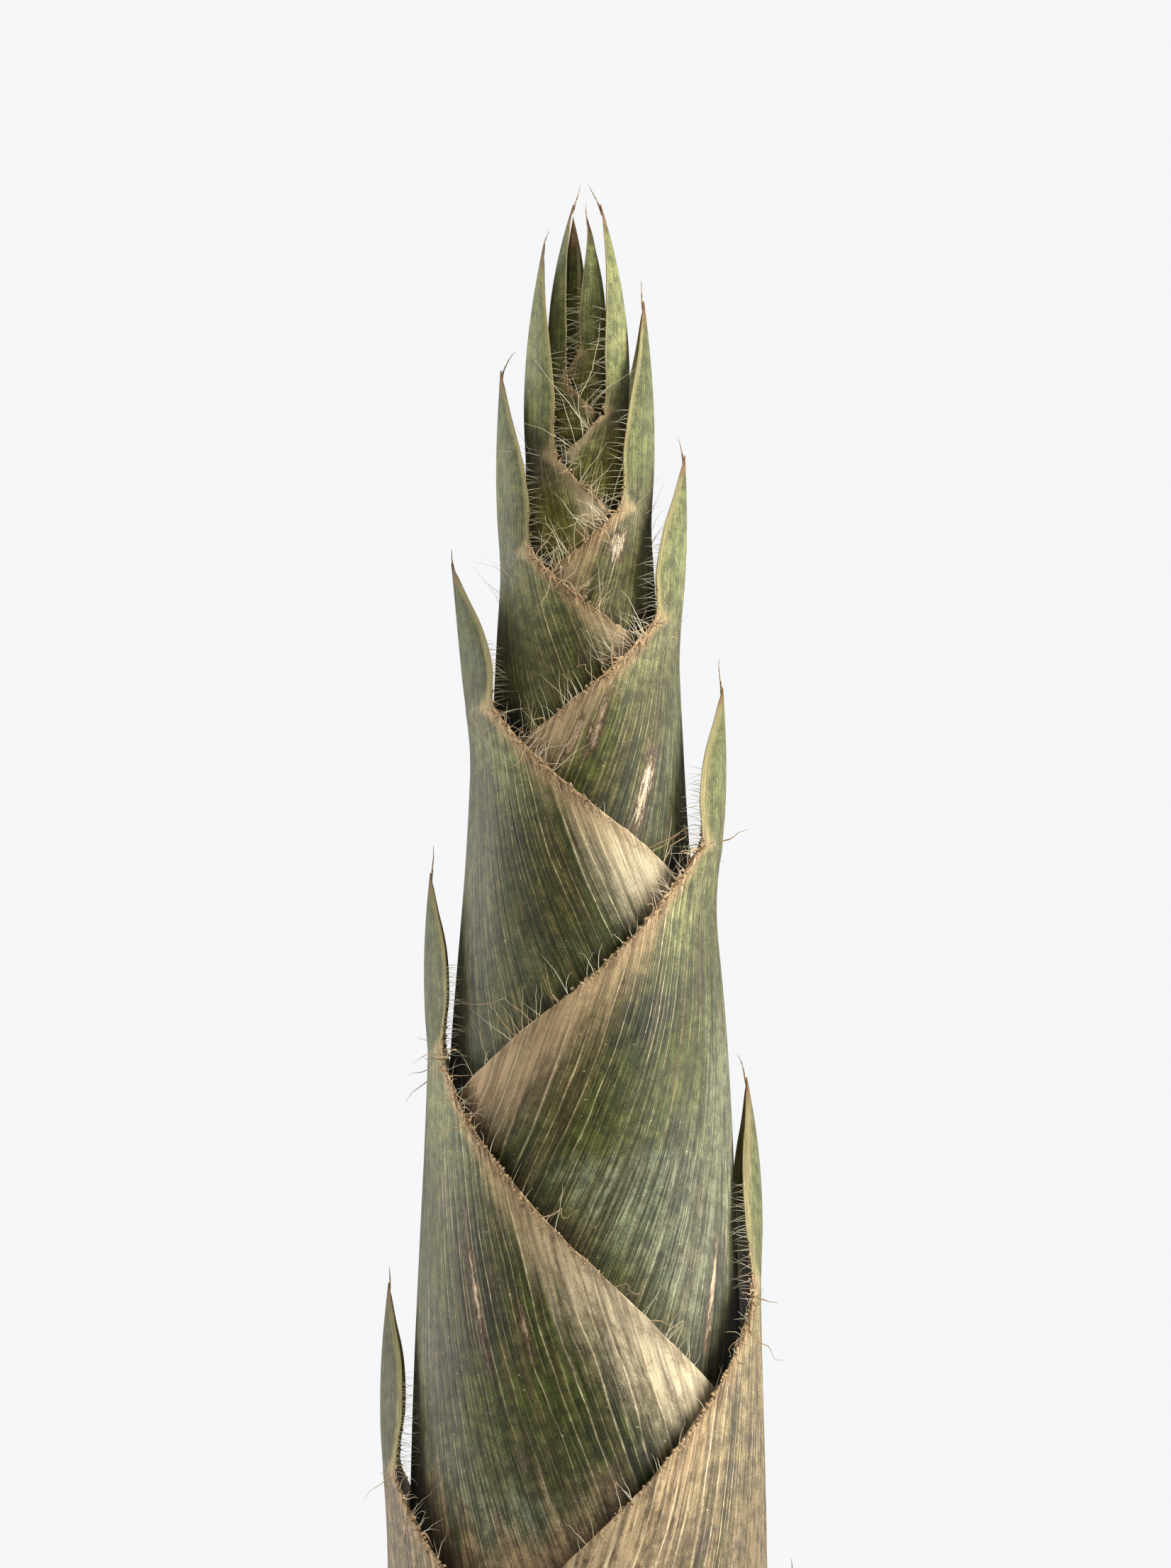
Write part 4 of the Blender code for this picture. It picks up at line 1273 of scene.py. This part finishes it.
    # Painted shade from bare: darker just above the covering margins, darkest below them and in the pockets
    # beside the blade feet
    tone = t.times(
        t.number_mix(margin["Band"], tone, smooth_tone),
        t.rise(bare, -0.5, 5.0 * girth, 0.6, 1.0),
        t.rise(bare, -5.5 * girth, 0.3, 0.12, 1.0),
    )
    relief = t.math("MULTIPLY_ADD", margin["Rim"], 0.6, t.times(grain, 0.5))
    inputs = {
        "Base Color": t.mix(1.0, colour, t.vector(tone, tone, tone), "MULTIPLY"),
        "Roughness": t.rise(margin["Band"], 0.0, 1.0, 0.5, 0.7),
        "Normal": t.bump(t.math("ADD", veins["Height"], relief), 0.7, 0.12),
        "Specular IOR Level": 0.25,
        "Sheen Weight": 0.14,
        "Sheen Roughness": 0.3,
        "Sheen Tint": (0.9, 0.86, 0.72),
    }
    t.fill(surface, inputs)
    return made


def plain_material(name, dark, light, roughness, scale):
    """A matt finish between two colours, mottled on object coordinates."""
    made, t, surface = new_material(name)
    mottle = t.noise(t.place(), scale, 4.0, 0.6)
    colour = t.mix(t.rise(mottle, 0.35, 0.65), dark, light)
    t.fill(surface, {"Base Color": colour, "Roughness": roughness, "Normal": t.bump(mottle, 0.4, 0.1)})
    return made


def flesh_material(colours):
    """The stem: pale ringed and streaked flesh, with dark fibre ends on the flat cut and a browned rim."""
    made, t, surface = new_material("stem_flesh")
    split = t.add("ShaderNodeSeparateXYZ", {"Vector": t.place()}).outputs
    x, y, z = (t.math("DIVIDE", split[key], MM) for key in "XYZ")
    rings = t.noise(t.vector(t.times(x, 0.05), t.times(y, 0.05), t.times(z, 1.6)), 1.0, 4.0, 0.65)
    streaks = t.noise(t.vector(x, y, t.times(z, 0.12)), 1.0, 4.0, 0.7)
    colour = t.mix(t.rise(rings, 0.4, 0.62), colours.flesh, colours.straw)
    radius = t.math("SQRT", t.math("ADD", t.math("POWER", x, 2.0), t.math("POWER", y, 2.0)))
    cell = t.add("ShaderNodeTexVoronoi", {"Vector": t.vector(x, y, 0.0), "Scale": 1.1}, feature="F1").outputs
    ends = t.times(t.fall(cell["Distance"], 0.12, 0.2), t.rise(radius, 2.0, 16.0, 0.3, 0.9))
    cut = t.coats(colours.flesh, (ends, colours.bark), (t.rise(radius, 20.5, 22.4), colours.tan))
    colour = t.coats(
        colour,
        (t.rise(streaks, 0.52, 0.7, 0.0, 0.6), colours.tan),
        (t.fall(z, 0.05, 0.3), cut),
    )
    relief = t.bump(t.math("ADD", rings, streaks), 0.5, 0.2)
    t.fill(surface, {"Base Color": colour, "Roughness": 0.55, "Normal": relief})
    return made


# ---- What a user would change ----


def size_property(name, description, millimetres):
    """A length, given here in millimetres."""
    size = {"default": millimetres * MM, "unit": "LENGTH", "precision": 5}
    return FloatProperty(name=name, description=description, **size)


def colour_property(name, description, colour):
    """A colour."""
    return FloatVectorProperty(name=name, description=description, default=colour, size=3, subtype="COLOR")


class ShootSizes(bpy.types.PropertyGroup):
    thickness: size_property("Sheath thickness", "Thickness of a sheath away from its edges", 0.6)
    vein_height: size_property("Vein height", "Height of the veins over the furrows between them", 0.035)
    edge_lift: size_property("Edge lift", "How far a free margin stands off the leaf below it", 0.35)
    ragged: size_property("Ragged edge", "How uneven the free margins are", 0.35)
    hair_density: FloatProperty(name="Hairs", description="Hairs on each millimetre of a margin", default=0.8)
    shreds: FloatProperty(name="Shreds", description="Torn shreds at each corner of a ligule", default=20.0)
    crust_density: FloatProperty(name="Crust", description="Crumbs on each millimetre of margin", default=7.0)
    seed: IntProperty(name="Seed", description="Start of every random draw", default=7)


class ShootColours(bpy.types.PropertyGroup):
    green: colour_property("Green", "Sheath flesh in its lighter parts", (0.071, 0.083, 0.010))
    green_dark: colour_property("Dark green", "Sheath flesh in its darker parts", (0.022, 0.027, 0.006))
    blade_light: colour_property("Light blade", "The lightest of the blades", (0.310, 0.322, 0.120))
    blade_edge: colour_property("Blade edge", "Dry edges of the blades", (0.450, 0.385, 0.160))
    cream: colour_property("Cream", "Smooth pale lips low on the margins", (0.840, 0.710, 0.460))
    green_fresh: colour_property("Fresh green", "Blades and young leaves at the tip", (0.180, 0.172, 0.026))
    olive: colour_property("Olive", "Yellower streaks in the green", (0.098, 0.078, 0.022))
    scar: colour_property("Scar", "Bare dry flesh in old wounds", (0.480, 0.340, 0.210))
    bloom: colour_property("Bloom", "Grey waxy bloom over the green", (0.192, 0.204, 0.122))
    vein: colour_property("Vein", "Pale veins and specks", (0.720, 0.585, 0.340))
    straw: colour_property("Straw", "Dry bands along the margins", (0.640, 0.445, 0.225))
    pink_beige: colour_property("Pink beige", "Dry bands of some of the leaves", (0.470, 0.300, 0.170))
    tan: colour_property("Tan", "Dried sheaths", (0.330, 0.215, 0.110))
    bark: colour_property("Bark", "Streaks, flecks and dried furrows", (0.110, 0.060, 0.030))
    rust: colour_property("Rust", "Crust on the margins and needle tips", (0.260, 0.130, 0.052))
    purple: colour_property("Purple brown", "Stains below the ligules", (0.085, 0.058, 0.042))
    hair: colour_property("Hair", "Tips of the hairs", (0.900, 0.820, 0.590))
    hair_dark: colour_property("Dark hair", "Shaded parts of the hairs", (0.760, 0.640, 0.390))
    flesh: colour_property("Flesh", "Cut stem and root buds", (0.780, 0.660, 0.430))


# ---- Operators ----


def show(mesh, material, replaced):
    """Links a finished piece that rides on the shoot, in place of the given nodes."""
    piece = bpy.data.objects.new(mesh.name, mesh)
    bpy.context.scene.collection.objects.link(piece)
    mesh.materials.clear()
    mesh.materials.append(material)
    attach(piece, "root")
    if replaced:
        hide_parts(*replaced)
    return piece


class SHOOT_OT_leaves(bpy.types.Operator):
    """Adds the fine sheaths with their blades"""

    bl_idname = "shoot.leaves"
    bl_label = "Leaves"

    def execute(self, context):
        sizes, colours = context.scene.shoot_sizes, context.scene.shoot_colours
        groups = leaf_groups()
        for leaf in ALL_LEAVES:
            mesh = leaf_mesh(leaf, sizes)
            made = leaf_material(mesh.name, leaf.look, leaf.number, leaf.girth, colours, groups)
            show(mesh, made, [leaf.node])
        return {"FINISHED"}


class SHOOT_OT_spear(bpy.types.Operator):
    """Adds the rolled leaf at the tip"""

    bl_idname = "shoot.spear"
    bl_label = "Spear"

    def execute(self, context):
        sizes, colours = context.scene.shoot_sizes, context.scene.shoot_colours
        girth = SPEAR_RADIUS / TYPICAL_RADIUS
        made = leaf_material("leaf_spear", SPEAR_LOOK, 0, girth, colours, leaf_groups())
        show(spear_mesh(sizes), made, ["spear_leaf"])
        return {"FINISHED"}


class SHOOT_OT_stem(bpy.types.Operator):
    """Adds the stem with its cut base and root buds"""

    bl_idname = "shoot.stem"
    bl_label = "Stem"

    def execute(self, context):
        sizes, colours = context.scene.shoot_sizes, context.scene.shoot_colours
        show(stem_mesh(), flesh_material(colours), ["stem"])
        buds = Crumbs("root_buds", sizes.seed)
        root_buds(buds)
        made = plain_material("root_bud", colours.pink_beige, colours.flesh, 0.6, 900.0)
        tree = scatter_tree("Root buds", "cone")
        shape = {"radius": ROOT_BUD_RADIUS, "height": ROOT_BUD_DEPTH, "detail": 12}
        show(grown_mesh(buds, tree, made, **shape), made, [])
        return {"FINISHED"}


# Of each cloud of strands: how far they wander, their segments and their sides
STRAND_SHAPES = {"hairs": (0.3, 5, 3), "fringe": (1.3, 9, 4), "blade_tips": (0.2, 7, 6)}


class SHOOT_OT_hairs(bpy.types.Operator):
    """Adds the hairs, the ligule fringe, the blade tips and the crust on the margins"""

    bl_idname = "shoot.hairs"
    bl_label = "Hairs and Fringe"

    def execute(self, context):
        sizes, colours = context.scene.shoot_sizes, context.scene.shoot_colours
        tree = strand_tree()
        hairs, fringe = Strands("hairs", sizes.seed), Strands("fringe", sizes.seed + 1)
        tips, crust = Strands("blade_tips", sizes.seed + 2), Crumbs("crust", sizes.seed + 3)
        for leaf in ALL_LEAVES:
            margin_hairs(leaf, hairs, sizes)
            if leaf.number >= FIRST_COMBED:
                gap_hairs(leaf, hairs, sizes)
                margin_crust(leaf, crust, sizes)
            if leaf.number >= FIRST_YOUNG:
                cluster_hairs(leaf, hairs, sizes)
            ligule_shreds(leaf, fringe, sizes)
            if leaf.number in SHREDDED_LEAVES:
                margin_shreds(leaf, fringe, sizes)
            blade_tip(leaf, tips)
        pale = plain_material("pale_hair", colours.hair_dark, colours.hair, 0.45, 300.0)
        brown = plain_material("brown_shred", colours.tan, colours.straw, 0.6, 900.0)
        rusty = plain_material("rusty_crust", colours.bark, colours.straw, 0.8, 2200.0)
        for strands, material in ((hairs, pale), (fringe, brown), (tips, rusty)):
            wander, segments, sides = STRAND_SHAPES[strands.name]
            shape = {"wander": wander, "segments": segments, "sides": sides, "seed": sizes.seed}
            show(grown_mesh(strands, tree, material, **shape), material, [])
        shape = {"radius": 1.0, "height": 0.8, "detail": 1}
        show(grown_mesh(crust, scatter_tree("Crust", "ball"), rusty, **shape), rusty, [])
        return {"FINISHED"}


VIEW_HEIGHT = 203.0  # millimetres seen from top to bottom at the shoot
VIEW_MIDDLE = (0.3, 186.5)  # across and up, in millimetres
CAMERA_DISTANCE = 1100.0  # millimetres
FLOOR_RADIUS = 0.9  # metres
FLOOR_SIDES = 96
PAPER = ((0.590, 0.596, 0.604), (0.604, 0.610, 0.618))
BACKDROP = (0.922, 0.927, 0.939)
SOFT_LIGHT = (1.0, 0.99, 0.98)

# Square lights: name, place and width in metres, and power; all aim at one point of the shoot
LIGHTS = (
    ("side_left", (-1.1, 0.5, 0.5), 1.2, 23.0),
    ("side_right", (1.3, 0.0, 0.5), 1.2, 44.0),
    ("top", (0.0, -0.3, 1.4), 0.8, 8.0),
)
LIT_POINT = Vector((0, 0, 0.17))


class SHOOT_OT_stage(bpy.types.Operator):
    """Adds the pale studio floor, the soft lights and the level camera"""

    bl_idname = "shoot.stage"
    bl_label = "Stage"

    def execute(self, context):
        scene = context.scene
        self.add_floor()
        scene.view_settings.view_transform = "Standard"
        self.add_world(scene)
        for light in LIGHTS:
            self.add_light(*light)
        camera = bpy.data.cameras.new("camera")
        camera.sensor_fit = "VERTICAL"
        camera.lens = camera.sensor_height * CAMERA_DISTANCE / VIEW_HEIGHT
        seen = bpy.data.objects.new("camera", camera)
        seen.location = (VIEW_MIDDLE[0] * MM, -CAMERA_DISTANCE * MM, VIEW_MIDDLE[1] * MM)
        seen.rotation_euler = (math.pi / 2, 0, 0)
        scene.collection.objects.link(seen)
        scene.camera = seen
        return {"FINISHED"}

    def add_floor(self):
        """Round paper floor that fades into the paler surroundings."""
        mesh = bpy.data.meshes.new("studio_floor")
        angle = 2 * math.pi * np.arange(FLOOR_SIDES) / FLOOR_SIDES
        points = FLOOR_RADIUS * np.stack([np.cos(angle), np.sin(angle), 0 * angle], -1)
        mesh.from_pydata(points.tolist(), [], [range(FLOOR_SIDES)])
        made = plain_material("studio_paper", *PAPER, 0.9, 2.0)
        t = Tree(made.node_tree)
        away = t.add("ShaderNodeVectorMath", {0: t.place()}, operation="LENGTH").outputs["Value"]
        fade = t.fall(away, 0.35 * FLOOR_RADIUS, 0.97 * FLOOR_RADIUS)
        t.feed(made.node_tree.nodes["Principled BSDF"].inputs["Alpha"], fade)
        mesh.materials.append(made)
        floor = bpy.data.objects.new("studio_floor", mesh)
        bpy.context.scene.collection.objects.link(floor)

    def add_world(self, scene):
        """Dim soft light from all round, before a paler backdrop that lights nothing."""
        world = bpy.data.worlds.new("studio")
        world.use_nodes = True
        t = Tree(world.node_tree)
        soft = world.node_tree.nodes["Background"]
        t.fill(soft.inputs, {"Color": SOFT_LIGHT, "Strength": 0.3})
        backdrop = t.add("ShaderNodeBackground", {"Color": BACKDROP, "Strength": 1.0})
        seen = t.add("ShaderNodeLightPath").outputs["Is Camera Ray"]
        both = t.add("ShaderNodeMixShader", {0: seen, 1: soft.outputs[0], 2: backdrop.outputs[0]})
        t.feed(world.node_tree.nodes["World Output"].inputs["Surface"], both.outputs[0])
        scene.world = world

    def add_light(self, name, place, size, power):
        """A square light turned to the shoot."""
        light = bpy.data.lights.new(name, "AREA")
        light.shape = "SQUARE"
        light.size = size
        light.energy = power
        lamp = bpy.data.objects.new(name, light)
        lamp.location = place
        aim = LIT_POINT - lamp.location
        lamp.rotation_euler = aim.to_track_quat("-Z", "Y").to_euler()
        bpy.context.scene.collection.objects.link(lamp)


class SHOOT_PT_panel(bpy.types.Panel):
    """Lists the shoot's sizes, colours and pieces"""

    bl_idname = "SHOOT_PT_panel"
    bl_label = "Bamboo Shoot"
    bl_space_type = "VIEW_3D"
    bl_region_type = "UI"
    bl_category = "Shoot"

    def draw(self, context):
        for settings in (context.scene.shoot_sizes, context.scene.shoot_colours):
            box = self.layout.box()
            for key in settings.__annotations__:
                box.prop(settings, key)
        for operator in OPERATORS:
            self.layout.operator(operator.bl_idname)


SETTINGS = (ShootSizes, ShootColours)
OPERATORS = (SHOOT_OT_stem, SHOOT_OT_leaves, SHOOT_OT_spear, SHOOT_OT_hairs, SHOOT_OT_stage)


def register():
    """Adds the settings, operators and panel."""
    for made in (*SETTINGS, *OPERATORS, SHOOT_PT_panel):
        bpy.utils.register_class(made)
    bpy.types.Scene.shoot_sizes = PointerProperty(type=ShootSizes)
    bpy.types.Scene.shoot_colours = PointerProperty(type=ShootColours)


def unregister():
    """Takes them away again."""
    del bpy.types.Scene.shoot_colours
    del bpy.types.Scene.shoot_sizes
    for made in reversed((*SETTINGS, *OPERATORS, SHOOT_PT_panel)):
        bpy.utils.unregister_class(made)


def main():
    """Builds the shoot and its stage."""
    register()
    bpy.ops.shoot.stem()
    bpy.ops.shoot.leaves()
    bpy.ops.shoot.spear()
    bpy.ops.shoot.hairs()
    bpy.ops.shoot.stage()


if __name__ == "__main__":
    main()
